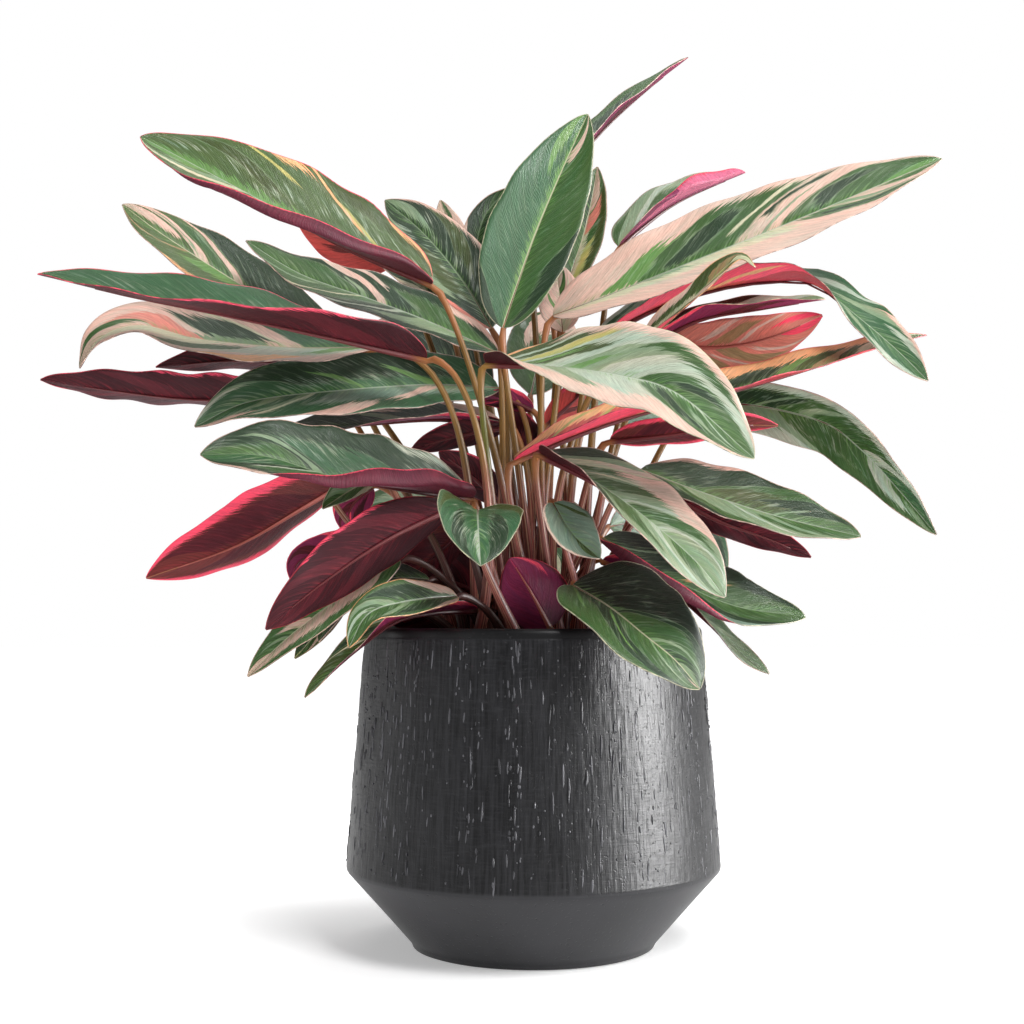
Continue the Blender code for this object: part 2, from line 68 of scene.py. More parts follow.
# Pot, in millimetres: outer radii and heights
POT_HEIGHT = 228
RIM_RADIUS = 120
SHOULDER_RADIUS = 134
SHOULDER_HEIGHT = 58
FOOT_RADIUS = 88
LIP_ROUND = 3
FOOT_ROUND = 4
POT_WALL = 6
POT_FLOOR = 8

# Its fine form: uneven by hand, with many short dashes that stand a little proud of the wall and carry
# painted glints
POT_COLUMNS = 560
WALL_ROWS = 90
FOOT_ROWS = 14
LIP_ROWS = 8
LIP_BAND = 7.0
WALL_SWELLS = ((0.18, 44, 9), (0.13, 90, 5))
DASHES = 1700
DASH_LANES = 210
DASH_RISE = 0.55
DASH_LENGTHS = (0.6, 0.8, 1.2, 1.8, 3.0, 4.6, 6.4)
DASH_SEED = 11

# Soil, in millimetres, and the bark chips on it
SOIL_HEIGHT = 208
SOIL_CROWN = 5
SOIL_COLUMNS = 150
SOIL_RINGS = 34
SOIL_LUMPS = ((2.4, 14), (1.6, 5), (1.0, 2.2))
CLEARANCE = 0.3
CHIPS = 300
CHIP_SHAPES = 6
CHIP_SEED = 4

# Leaf stalks: radius where they leave the soil and where they meet the blade
ROOT_DEPTH = 18
STALK_FOOT_RADIUS = 4.4
STALK_TOP_RADIUS = 2.3
STALK_STATIONS = (0.0, 0.12, 0.38, 0.62, 0.8, 0.92)
STALK_COLUMNS = 12
STALK_ROWS = 30
KEEL_ROWS = 14
KNEE_LENGTH = 18.0
KNEE_RADIUS = 2.9

# Crown of the plant: the patch of soil where the stalks stand, and the room each has there
CROWN_CENTRE = (8, -4)
CROWN_REACH = (66, 60)
STALK_SPACING = 14
LEAN = (0.36, 0.6)
UPRIGHT_SHARE = 0.34
LONGEST_BEND = 0.4
STALK_STEPS = 16
LONG_STALK = 150
SWAY_STEPS = (9, 18, 28, 38, 50)
SWAY_WAYS = 12
SWAY_ROUNDS = 30
SWAY_LOOSENESS = 20
SWAY_SEED = 5
LEAF_CLEARANCE = 0.5

# Blades as the solids have them, and the way in which each side between two rings is split
BLADE_THICKNESS = 0.9
BLADE_STATIONS = (0.0, 0.06, 0.16, 0.29, 0.43, 0.57, 0.71, 0.84, 0.94, 1.0)
WIDEST_FROM_BASE = 0.42
BASE_ROUNDNESS = 0.54
TIP_HALF_WIDTH = 1.2
RIB_DEPTH = 2.2
SPLITS = ("rising", "falling", "rising", "rising", "falling", "rising")

# Fineness of the blades in the picture, in millimetres and in faces
BLADE_STEP = 2.8
BLADE_COLUMNS = 18
BLADE_SHEET = 0.55
STROKE_SWEEP = 2.1
STROKE_CURVE = 1.3
VEIN_SWEEP = 1.25
VEIN_CURVE = 1.15
FOLD_CURVE = 1.22
VEIN_RISE = 0.17
VEIN_PITCH = 8.5
FINE_VEINS = 1.7
RIB_GROOVE = (0.5, 1.6)
MARGIN_WAVE = 1.1
WAVE_LENGTHS = (38, 60)
ROLL_LEAN = math.radians(50)
SEED_STEP = 3.0
UNDER_SEED = 40.0
INNER_PAINT_SEED = 900.0
INNER_SHAPE_SEED = 100

# Places are given as they look from the front: x and z on the upright plane through the pot's axis,
# and y, the true depth behind that plane, along the sight line from this point.
FRONT_VIEW = Vector((0, -1120, 242))

# Camera and light, in pixels, metres and watts
IMAGE_SIDE = 1024
SENSOR = 36.0
METRES_A_PIXEL = 0.00072
AXIS_PIXEL = 533.5
HORIZON_PIXEL = 607
FLOOR_REACH = 8.0
ROOM_LIGHT = 0.20

# Name, place, height aimed at, size, watts, and whether it lights more than the gloss
SOFTBOXES = (
    ("key", (0.75, -1.25, 1.75), 0.35, (0.8, 0.8), 39, True),
    ("side", (1.55, -0.2, 1.0), 0.35, (0.8, 0.8), 14, True),
    ("fill", (-1.7, -1.0, 0.8), 0.35, (0.8, 1.2), 4, True),
    ("top", (-0.1, 0.3, 1.9), 0.3, (1.2, 1.2), 13, True),
    ("sheen", (1.50, -0.42, 0.55), 0.28, (0.46, 1.1), 145, False),
    ("far_sheen", (-1.5, 0.30, 0.55), 0.28, (0.46, 1.1), 3, False),
)

# Tones of pot and soil, as linear red, green and blue: dull and bright, or one alone
WALL_CLAY = ((0.003, 0.003, 0.0035), (0.016, 0.016, 0.018))
# The dashes' lighter tones are painted highlight: they stand in for glints on the raised dashes
DASH_CLAY_PAINTED_GLINT = ((0.016, 0.016, 0.018), (0.105, 0.105, 0.115))
# The foot's tones are lighter than the wall's as painted reflection of the white floor on its downward slope
FOOT_CLAY_PAINTED_REFLECTION = ((0.015, 0.015, 0.0165), (0.038, 0.038, 0.042))
RING_TONE = (0.026, 0.026, 0.029)
LIP_TONE = (0.006, 0.006, 0.0065)
# Pits are painted darker, as painted shade in the hollows
PIT_PAINTED_SHADE = (0.006, 0.006, 0.007)
SOIL_TONES = ((0.010, 0.007, 0.005), (0.055, 0.037, 0.024))
BARK_TONES = ((0.028, 0.014, 0.008), (0.15, 0.085, 0.045))

# Tones of the leaves
TONES = {
    "D": (0.011, 0.032, 0.010),  # deep green
    "k": (0.006, 0.014, 0.005),  # nearly black
    "g": (0.036, 0.088, 0.020),  # leaf green
    "b": (0.030, 0.096, 0.036),  # bluish green
    "l": (0.110, 0.230, 0.055),  # light green
    "s": (0.190, 0.260, 0.150),  # sage
    "u": (0.160, 0.230, 0.170),  # grey green
    "w": (0.370, 0.420, 0.325),  # whitish green
    "c": (0.530, 0.490, 0.330),  # cream
    "p": (0.610, 0.410, 0.330),  # pale pink
    "P": (0.860, 0.070, 0.130),  # strong pink
    "r": (0.620, 0.200, 0.150),  # salmon
    "e": (0.058, 0.098, 0.024),  # moss
    "o": (0.044, 0.066, 0.013),  # olive
    "y": (0.400, 0.370, 0.110),  # yellow
    "a": (0.760, 0.370, 0.170),  # apricot
    "t": (0.300, 0.190, 0.090),  # tan
    "m": (0.040, 0.006, 0.010),  # dark maroon
    "M": (0.078, 0.010, 0.016),  # maroon
    "h": (0.105, 0.016, 0.030),  # plum
    "N": (0.130, 0.024, 0.022),  # rust
    "v": (0.200, 0.020, 0.070),  # violet
    "R": (0.400, 0.030, 0.045),  # red
    "q": (0.540, 0.070, 0.060),  # scarlet
    "j": (0.500, 0.110, 0.190),  # rose
}
DARK_TONES = "Dkgboem"

# A stroke fades over these shares of the midrib's length and of the half's width
SOFT_ENDS = 0.02
SOFT_SIDES = 0.07

# Sheath, shaft, knee and keel of a stalk, and how light its foot is; the shaded feet and the dark maroon
# stalks are painted shade
SHAFT = ((0.24, 0.070, 0.035), (0.150, 0.078, 0.020), (0.34, 0.15, 0.042))
STALK_TONES = {
    "brown": (*SHAFT, (0.120, 0.022, 0.024), 1.0),
    "olive": ((0.20, 0.15, 0.030), (0.130, 0.125, 0.018), (0.42, 0.17, 0.045), (0.120, 0.022, 0.024), 1.0),
    # Painted shade: stalks low in the crown, painted dark all along to stand for the deep shade there
    "maroon": ((0.05, 0.010, 0.010), (0.026, 0.009, 0.006), (0.08, 0.024, 0.016),
               (0.080, 0.012, 0.016), 0.18),
    # Painted shade: a brown stalk whose foot is painted dark for the shade low in the crown
    "shaded": (*SHAFT, (0.120, 0.022, 0.024), 0.25),
    "rose": (*SHAFT, (0.360, 0.090, 0.070), 0.6),
}
FOOT_TONES = ((0.12, 0.032, 0.022), (0.40, 0.115, 0.100), (0.44, 0.32, 0.19))

# What differs between the blade's two faces: tones of the halo round dark strokes, of feathers, of veins
# and of the glow along the midrib, how strong each is, roughness at the least, and gloss
FACES = {
    "upper": {"halo": "s", "feather": "w", "feathers": 0.70, "vein": "s", "veins": 0.12, "glow": "l",
              "glows": 0.85, "ribs": 0.85, "rough": 0.24, "gloss": 0.34},
    "under": {"halo": "M", "feather": "R", "feathers": 0.10, "vein": "R", "veins": 0.06, "glow": "R",
              "glows": 0.25, "ribs": 0.35, "rough": 0.42, "gloss": 0.15},
}


def look(ground, high="", low="", rib="w", edge="p", feathers=0.3, under="wine", stalk="brown"):
    """How one blade is painted.

    ground: tone of the whole blade
    high and low: brush strokes on the half that lies higher and on the other, each "tone from to
          inner outer", in percent along the midrib and out from it, or without the last two where it
          spans the half; they run out along the side veins
    rib and edge: tones; under and stalk: names from UNDERSIDES and STALK_TONES
    feathers: strength of the pale streaks between the side veins
    """
    return {"ground": ground, "high": high, "low": low, "rib": rib, "edge": edge, "feathers": feathers,
            "under": under, "stalk": stalk}


def from_beneath(under, stalk="brown"):
    """A blade that shows its underside alone, plain above."""
    return look("g", rib="c", edge="P", feathers=0.2, under=under, stalk=stalk)


def leaf(name, half_width, turn, fold, rib, painted, root=None, bend=16, roll=(0, 1, 0)):
    """One leaf.

    half_width: from the midrib to the margin, in mm
    turn: at base, middle and tip, or one for all; 0 shows the upper face to the front, 90 faces it
          up, 180 shows the underside
    fold: at base and tip, how far each half rises from flat, in degrees
    rib: the midrib from base to tip, as (x, z, y)
    roll: where the lower margin is rolled over so that the underside shows, from and to along the
          midrib, and the share of the half's width that is rolled over at most
    """
    turn = turn if isinstance(turn, tuple) else (turn, turn, turn)
    return {"name": name, "half_width": half_width, "turn": turn, "fold": fold, "rib": rib,
            "look": painted, "root": root, "bend": bend, "roll": roll}


LEAVES = [
    leaf("left_01", 42, (68, 56, 42), (38, 16),
         [(-73, 475, -26), (-136, 502, -50), (-204, 539, -66), (-283, 581, -62)],
         look("e", "o -60 7 74 100, a -60 -20 88 100, y 9 12 0 70, a 11 14 45 100, a 17 24 90 100, "
         "y 30 33 62 100, l 30 100 0 14, o 44 54 30 90",
         "l -60 58 0 34, c 62 67, s 68 74 0 80, l 76 100 0 30", "w", "P", 0.95, "hem"), root=(-18, -32),
         roll=(-0.1, 0.88, 0.24)),
    leaf("left_02", 30, (55, 48, 35), (15, 10),
         [(-147, 443, 70), (-200, 468, 55), (-265, 509, 40), (-296, 532, 35)],
         look("e", "D -60 38, p 40 44, g 46 54 0 80, p 57 63, s 60 62 10 90, p 66 100 24 100",
         "a -60 40 88 100, t 66 69, l 40 60 0 40", "c")),
    leaf("left_03", 32, (118, 76, 68), (32, 26),
         [(-77, 421, -45), (-147, 437, -75), (-218, 452, -95), (-290, 466, -105), (-357, 482, -110)],
         look("b", "l -60 50 0 16, l 10 14 0 60, l 40 44 0 50", "l 0 30 0 40, p 50 56 20 100", "s", "P",
         0.45), root=(-34, -46)),
    leaf("left_04", 34, (62, 58, 70), (15, 14),
         [(-116, 429, -12), (-175, 429, -30), (-240, 435, -44), (-283, 445, -54), (-312, 436, -62),
         (-327, 414, -66)],
         look("p",
         "b -60 21, l -20 4 10 60, c 28 31, D 30 50 14 66, s 34 62 0 16, r 54 70 0 56, g 69 78 18 76",
         "w -60 36 0 60, l 0 12 0 40, g 37 46 18 90, c 47 100 0 60, a 6 24 56 100", "c", "p", 0.2),
         root=(-36, -14), bend=80),
    leaf("left_05", 26, (112, 118, 136), (20, 14),
         [(-139, 392, 45), (-240, 392, 25), (-301, 398, 5), (-355, 406, -10)],
         from_beneath("wine")),
    leaf("left_06", 34, (50, 46, 38), (16, 12),
         [(-25, 400, 32), (-75, 402, 12), (-139, 398, -20), (-204, 390, -46), (-244, 372, -60)],
         look("b", "D 6 60 26 92, s 61 68 62 100, l 20 24 0 50, l 44 47 0 50, w 66 100 70 100",
         "u 0 56 0 46, s -10 26 0 30, p 19 26 6 58, p 27 40 54 100, c 59 62 0 84, s 62 66 0 60, "
         "s 72 76 0 60, p 66 100 60 100", "w", "p", 0.7)),
    leaf("left_07", 27, (80, 74, 60), (22, 16),
         [(-22, 374, 32), (-67, 378, 16), (-118, 374, -2), (-184, 368, -14)],
         look("D", "p -30 0 40 100, p 32 40 50 100, s 44 50 0 60", "s 20 24, p 46 50", "s", "p", 0.3,
         "violet")),
    leaf("left_08", 38, (68, 58, 32), (40, 14),
         [(-44, 321, -34), (-96, 328, -66), (-147, 337, -90), (-195, 351, -106), (-240, 352, -112)],
         look("D", "w -60 -6 84 97, b 20 56 0 60, s 58 61 0 70, g 64 100 0 36",
         "g -60 60 0 70, p 30 60 90 100, w 60 63 0 60, b 66 100 0 70", "s", "p", 0.6, "hem"),
         root=(-12, -40), roll=(-0.15, 0.8, 0.4)),
    leaf("left_09", 30, (132, 140, 146), (24, 18),
         [(-138, 331, 10), (-168, 313, -8), (-215, 286, -30), (-279, 263, -45)],
         look("g", "p 0 60 70 100", "", "c", "P", 0.2, "rosy", "rose"), root=(-50, 14)),
    leaf("left_10", 12, 150, (18, 14), [(-125, 292, 38), (-154, 282, 20), (-170, 274, 8), (-175, 261, 2)],
         from_beneath("violet", "shaded"), root=(-50, 30)),
    leaf("left_11", 24, (150, 152, 150), (20, 12),
         [(-60, 313, -66), (-107, 290, -90), (-154, 258, -106), (-193, 226, -116)],
         from_beneath("wine", "shaded"), root=(-30, -46)),
    leaf("left_12", 16, 30, (14, 12),
         [(-96, 276, -55), (-139, 249, -72), (-179, 218, -85), (-206, 192, -90)],
         look("g", "p 56 64 0 50, s 70 74 0 60, p 84 100", "p 10 100 0 56, g 40 100 66 100", "c", "p", 0.3,
         "wine", "maroon")),
    leaf("left_13", 9, (40, 35, 30), (14, 12), [(-136, 242, -2), (-155, 224, -12), (-172, 205, -18)],
         look("g", "D 60 84 10 90, y 86 96", "p 40 52, y 80 92 30 100", "c", "t", 0.2, "wine", "maroon"),
         root=(-54, -4)),
    leaf("left_14", 18, (82, 78, 50), (30, 20),
         [(-41, 241, -42), (-72, 239, -62), (-100, 232, -76), (-128, 211, -86), (-148, 193, -92),
         (-165, 177, -95)],
         look("o", "p -40 0 56 100, s 6 10, D 14 30 10 90, s 36 40 0 90, D 44 54 20 90, c 58 60 0 90",
         "p -40 -10 60 100, l 50 100 0 60", "w", "p", 0.5, "violet", "maroon")),
    leaf("left_15", 16, (50, 42, 30), (18, 12),
         [(-55, 250, -84), (-92, 246, -114), (-119, 237, -131), (-133, 213, -137)],
         look("g", "p -60 6 30 100, D 10 46 0 80, s 52 60 0 90, w 66 74 20 100",
         "D 0 36 10 80, s 40 48 0 80, p -60 0 60 100", "w", "a", 0.5, "violet", "maroon"), root=(-34, -54)),
    leaf("left_16", 24, (160, 160, 155), (14, 12), [(-42, 305, -2), (-75, 276, -12), (-107, 248, -20)],
         from_beneath("rosy", "maroon"), root=(-20, -10)),
    # Painted shade: left_17 is painted nearly black where the crown lies in deep shade
    leaf("left_17", 17, (62, 56, 50), (16, 12),
         [(-75, 262, -32), (-107, 262, -40), (-139, 243, -46), (-155, 217, -50)],
         look("k", "", "", "s", "p", 0.1, "wine", "maroon")),
    leaf("left_18", 12, (40, 42, 40), (22, 16), [(-110, 338, -25), (-132, 326, -40), (-152, 313, -50)],
         look("g", "s 30 60 0 80", "c -40 20 60 100", "c", "c", 0.2, "wine", "shaded"), root=(-46, -28)),
    leaf("left_19", 14, (168, 168, 165), (16, 14), [(-116, 329, 30), (-130, 316, 27), (-137, 296, 24)],
         from_beneath("violet", "shaded"), root=(-40, 16)),
    leaf("left_20", 18, 130, (18, 12), [(-147, 416, 70), (-211, 420, 60), (-272, 415, 50)],
         from_beneath("wine")),
    leaf("top_01", 26, (24, 20, 20), (14, 10),
         [(-30, 443, 32), (-51, 477, 36), (-78, 510, 40), (-107, 535, 42)],
         look("D", "p -20 70 92 100, s 60 90 20 80, o 20 40 30 90",
         "s 0 60 60 90, r -60 -10 40 100, o 10 50 20 70", "s", "p", 1.0)),
    leaf("top_02", 15, (15, 12, 10), (20, 12), [(-46, 463, 78), (-58, 505, 84), (-67, 535, 86)],
         look("p", "g 8 16 0 60, g 66 90 20 60", "D -60 10 20 90, D 60 70 5 60", "c", "p", 0.2)),
    leaf("top_03", 13, 20, (18, 12), [(-46, 470, 60), (-37, 519, 62), (-18, 544, 64)],
         look("D", "p -60 30 55 100", "p 40 70 60 100", "s", "p", 0.2)),
    leaf("top_04", 34, (16, 15, 16), (16, 12),
         [(-22, 443, -2), (-13, 470, 4), (1, 510, 12), (19, 553, 20), (39, 597, 24)],
         look("b", "l -60 100 0 8, D -60 -14 40 100, l 60 80 30 90",
         "g -60 72, D -20 10 50 100, p 74 82 4 100, g 86 100 0 50", "c", "c", 0.12)),
    leaf("top_05", 22, (74, 76, 80), (24, 18), [(0, 524, 55), (42, 578, 68), (77, 611, 78), (111, 638, 85)],
         look("g", "s 0 30 20 90, D 30 60 10 70", "w 0 60 60 100", "w", "p", 0.4, "violet")),
    leaf("top_06", 17, (12, 10, 10), (20, 14), [(23, 470, 45), (35, 506, 50), (42, 535, 55), (46, 559, 58)],
         look("g", "D 50 100 0 80, s 30 36 40 90",
         "c -60 50 0 20, y -30 30 20 60, o -60 60 56 92, r 44 60 0 60, p 62 100 0 50", "c")),
    leaf("top_07", 26, (72, 74, 72), (30, 22),
         [(61, 502, 40), (77, 516, 48), (105, 535, 60), (152, 555, 75)],
         look("s", "g -40 -10 20 90, w 10 18, g 20 50 10 70", "g 10 40 0 80", "w", "p", 0.6, "pink"),
         roll=(0.3, 1.4, 0.6)),
    leaf("top_08", 38, (52, 50, 46), (20, 12),
         [(14, 452, 5), (55, 467, -8), (120, 493, -22), (192, 522, -35), (294, 565, -45)],
         look("p", "r -60 -14 0 46, l 12 23 3 64, g 22 47 0 88, D 28 36 10 70, c 41 43 24 90, "
         "D 49 51 30 95, s 54 56 0 70, g 61 100 0 88, D 64 70 10 70, l 84 100 0 60", "c 0 60 0 30, "
         "s 24 34 0 14, g 63 71 4 92, D 65 68 20 80, s 72 76 0 70, g 82 92 6 50, s 92 100 0 60", "w", "p",
         0.35, "rosy")),
    leaf("top_09", 24, 165, (12, 10), [(-102, 490, 66), (-136, 508, 70), (-175, 531, 72)],
         from_beneath("scarlet")),
    leaf("top_10", 26, (56, 54, 48), (12, 10),
         [(-26, 425, 2), (-74, 447, 8), (-118, 464, 17), (-168, 482, 26), (-207, 506, 31)],
         look("D", "p -60 2 74 100, g 0 28 0 70, p 30 35 66 100, p 41 47, s 50 52 0 60, g 54 100 0 80",
         "s 8 30 0 70, w 35 39, g 44 100 0 90, c 52 54, s 66 70 10 90")),
    leaf("top_11", 10, 40, (16, 12), [(-67, 463, 50), (-92, 480, 50), (-116, 495, 50)],
         look("D", "P -60 100 80 100, s 20 34 0 60", "c 18 32 20 100, p 50 60", "c", "p", 0.2)),
    leaf("top_12", 17, 0, (18, 12), [(21, 440, 28), (19, 463, 32), (16, 490, 36)],
         look("p", "l 20 30 10 60", "c -40 40 0 60, g 50 60 0 70", "c", "p", 0.2)),
    leaf("right_01", 31, (62, 93, 2), (26, 14),
         [(48, 438, 25), (91, 459, 15), (134, 472, 5), (174, 477, -5), (203, 474, -15), (235, 450, -35),
         (264, 425, -50), (284, 405, -60)],
         look("b", "w -60 -10 62 100, s -4 6 20 80, w 24 30, b 32 44, w 46 52, s 60 66 20 100, "
         "w 70 80 50 100, p 60 100 84 100", "s 42 46, w 50 56, s 64 70, w 66 100 66 100", "w", "p", 0.6,
         "crimson")),
    leaf("right_02", 12, (62, 62, 60), (20, 14),
         [(77, 434, -40), (113, 463, -68), (145, 492, -88), (160, 487, -92)],
         look("o", "p -60 30 58 100, c -60 50 0 20, t 60 78 0 60, c 80 100",
         "P -60 20, p 40 56, y 60 75 0 60, c 80 100", "c", "a", 0.2, "crimson")),
    leaf("right_03", 18, (86, 85, 80), (30, 22),
         [(84, 433, -6), (120, 450, -20), (163, 457, -38), (210, 464, -56)],
         look("k", "c 30 44 0 60, w 34 80 40 100, s 70 100", "s 60 100, c 20 24 0 90", "c", "c", 0.3,
         "violet"), root=(34, -2)),
    leaf("right_04", 20, (168, 170, 172), (14, 10),
         [(92, 430, -4), (134, 429, -12), (170, 436, -20), (208, 452, -28)],
         look("g", "", "", "c", "p", 0.2, "bronze", "rose")),
    leaf("right_05", 24, (80, 72, 60), (28, 20),
         [(-14, 348, -55), (34, 368, -52), (84, 384, -46), (141, 397, -40), (213, 418, -32),
         (253, 431, -26), (283, 438, -24)],
         look("o", "q -60 34, a -60 34 60 100, y 4 7 10 90, y 15 17 0 80, a 24 92 62 100, D 48 60 12 56, "
         "l 62 66 6 60, t 72 77 0 60, c 82 90",
         "q -60 40, a 2 5 0 90, y 12 15 10 80, P -60 60 80 100, c 40 90 70 90, o 42 100 0 60", "a", "P",
         0.2, "crimson"), root=(-2, -36)),
    leaf("right_06", 40, (100, 46, 38), (24, 12),
         [(-34, 418, -55), (8, 416, -80), (62, 409, -112), (105, 395, -135), (159, 349, -150)],
         look("w", "o -60 -8 16 100, a -60 -24 74 100, o -4 4 26 92, y 5 10 0 94, o 13 21 3 60, "
         "l 15 18 10 50, s 27 43 0 68, l 30 34 0 40, g 56 100 0 52, D 62 70 10 44, g 30 56 66 84, "
         "p -16 100 86 100", "p -60 60 50 100, s 20 30 0 60, w 44 56 0 40, g 56 78 3 88, D 60 66 10 60, "
         "s 70 73 20 90, g 80 100 0 76, p -60 80 84 100", "w", "c", 0.4, "wine", "olive"), root=(-30, -32)),
    leaf("right_07", 22, (10, -28, -28), (20, 14),
         [(113, 383, 16), (150, 388, 6), (206, 376, -20), (235, 356, -36), (264, 325, -48),
         (290, 294, -56)],
         look("g", "D -60 30 0 64, w 6 90 74 100, s 22 25 0 66, s 38 42 0 70, w 64 70 0 90, b 72 100 0 70",
         "s -60 30, w -60 24 62 100, g 34 56 8 62, w 66 78 0 60, s 80 90 20 90", "w", "p", 0.8)),
    leaf("right_08", 14, 140, (20, 14), [(55, 362, -30), (105, 367, -45), (141, 373, -55), (176, 373, -58)],
         from_beneath("rosy")),
    leaf("right_09", 32, (74, 58, 22), (34, 12),
         [(5, 353, -75), (48, 330, -105), (84, 304, -130), (116, 276, -145), (138, 249, -150)],
         look("s", "D -60 -6, c 0 9 20 100, p 0 6 60 100, g 11 17 8 86, c 19 21 20 100, g 24 36 0 82, "
         "w 42 46 0 92, g 48 58 0 74, w 62 66, p 10 48 60 100",
         "D -60 20, g 26 50 0 74, w 58 64 0 96, g 70 84 0 60", "w", "p", 0.7)),
    leaf("right_10", 30, (56, 54, 46), (18, 14),
         [(77, 341, -35), (120, 325, -50), (177, 307, -62), (236, 293, -68)],
         look("g", "D -60 26 10 100, p -60 5 90 100, o 30 60 0 60, D 44 70 30 90, s 60 62 0 50",
         "D -60 10, s 20 60, w 40 44 0 84, g 48 54 20 80", "w", "p", 0.5)),
    leaf("right_11", 14, 150, (16, 12), [(100, 322, 4), (134, 304, -8), (170, 291, -18), (200, 278, -24)],
         from_beneath("wine"), root=(36, 12)),
    leaf("right_12", 34, (58, 56, 46), (20, 12),
         [(50, 292, -36), (84, 271, -50), (141, 244, -62), (196, 235, -62)],
         look("D", "k -60 0, s 4 8 0 60, g 30 100 0 60, a 40 42 10 60", "u 10 36 20 100, g 50 100", "s",
         "c", 0.3, "hem"), roll=(-0.1, 0.72, 0.34)),
    leaf("right_13", 37, (40, 38, 26), (26, 12),
         [(28, 258, -84), (55, 242, -112), (80, 222, -130), (102, 204, -139), (120, 183, -142)],
         look("D", "k -60 34 4 100, g 40 70 0 60, s 62 65 0 60, s 82 100 0 20",
         "g -60 20 20 100, l -3 2 6 50, l 31 34 6 60, g 40 78 0 90, s 62 65 0 70, p 84 100 20 100", "c",
         "c"), root=(44, -46)),
    leaf("right_14", 16, (115, 86, 30), (24, 14),
         [(50, 276, 0), (91, 261, -12), (123, 234, -24), (145, 212, -32), (170, 194, -36)],
         look("s", "w 20 30, g 40 60 20 90", "g 10 24 0 80, w 50 70 20 100", "w", "p", 0.6, "violet")),
    leaf("right_15", 30, 10, (26, 14), [(-40, 312, -78), (-40, 303, -115), (-38, 272, -140)],
         look("b", "o -60 -24 24 100, D 10 60 30 90, u 60 100 50 100",
         "o -60 -20 26 92, D 10 50 40 90, w 60 100 0 14", "w", "c", 0.7)),
    leaf("right_16", 17, (30, 30, 24), (24, 14), [(14, 317, -95), (28, 295, -110), (48, 277, -118)],
         look("u", "o -20 -8 20 90", "o 60 90 0 60, p -60 40 90 100", "s", "p", 0.4), root=(38, -48)),
    leaf("right_17", 25, (176, 178, 178), (14, 10), [(12, 227, -60), (-2, 253, -64), (-17, 277, -58)],
         from_beneath("plum", "rose"), root=(4, -48)),
    leaf("back_01", 32, 0, (14, 10), [(-2, 395, 70), (6, 425, 130), (14, 425, 200), (20, 400, 250)],
         look("g", "p 20 50 40 100, D 60 100 0 80", "c 30 40, s 60 72 0 90", "w", "p", 0.5)),
    leaf("back_02", 30, 0, (14, 10), [(40, 380, 55), (90, 402, 110), (135, 400, 160), (170, 370, 210)],
         look("b", "c 30 40, p 60 80 50 100", "p 10 30 60 100, l 60 70 0 90", "w", "p", 0.5)),
    leaf("back_03", 32, 0, (14, 10), [(-30, 400, 55), (-70, 425, 105), (-110, 420, 155), (-145, 380, 205)],
         look("D", "p 10 40 60 100, s 50 60 0 90", "c 20 28, p 50 90 70 100", "w", "p", 0.5)),
    leaf("back_04", 28, 0, (16, 12), [(-40, 300, 62), (-72, 310, 105), (-108, 302, 150), (-135, 272, 195)],
         look("g", "s 20 40 0 80, p 60 100 60 100", "p 0 30 50 100, D 40 60 10 90", "w", "p", 0.5),
         root=(-28, 40)),
    leaf("back_05", 28, 0, (16, 12), [(55, 300, 62), (85, 304, 100), (115, 292, 145), (138, 262, 185)],
         look("b", "w 10 30 40 100, D 50 80 0 80", "c 40 50, p 60 100 70 100", "w", "p", 0.5)),
    leaf("back_06", 26, 0, (16, 12), [(10, 300, 70), (14, 305, 125), (14, 280, 175), (10, 235, 210)],
         look("g", "p 30 60 50 100, D 0 20 10 90", "s 20 40 0 90, c 60 70", "w", "p", 0.5)),
    leaf("back_07", 22, 0, (18, 12), [(14, 455, 62), (14, 512, 100), (15, 560, 140)],
         look("g", "p 30 50 50 100, D 50 80 0 80", "c 20 30", "w", "p", 0.4), root=(20, 28)),
]

# Young leaves deep in the crown, all painted alike above, each beside the stem of the named leaf; their upper
# faces are painted nearly black as painted shade
INNER_LOOK = look("k", "", "", "s", "p", 0.1)
INNER_LEAVES = [
    ("leaf_left_07", "wine", leaf("inner_01", 13, 150, (16, 12),
     [(-20, 372, 26), (-52, 366, 20), (-88, 356, 12)], INNER_LOOK, root=(-8, 20))),
    ("leaf_left_08", "wine", leaf("inner_02", 15, 155, (16, 12),
     [(-24, 318, 24), (-44, 336, 20), (-68, 354, 14)], INNER_LOOK, root=(-14, 26))),
    ("leaf_left_06", "wine", leaf("inner_03", 15, 165, (16, 12),
     [(-4, 344, 40), (-10, 366, 44), (-22, 388, 46)], INNER_LOOK, root=(2, 30))),
    ("leaf_left_06", "violet", leaf("inner_04", 9, 150, (16, 12),
     [(0, 384, 34), (-18, 391, 30), (-40, 391, 26)], INNER_LOOK, root=(6, 34))),
    ("leaf_right_05", "scarlet", leaf("inner_05", 12, 160, (16, 12),
     [(8, 372, 30), (28, 390, 34), (50, 412, 38)], INNER_LOOK, root=(10, 26))),
    ("leaf_left_16", "wine", leaf("inner_06", 26, 165, (14, 10),
     [(-28, 246, 10), (-62, 262, 0), (-104, 268, -12)], INNER_LOOK, root=(-12, 12))),
    ("leaf_left_16", "wine", leaf("inner_07", 17, 165, (14, 10),
     [(-44, 226, 34), (-76, 236, 28), (-108, 234, 20)], INNER_LOOK, root=(-30, 24))),
]

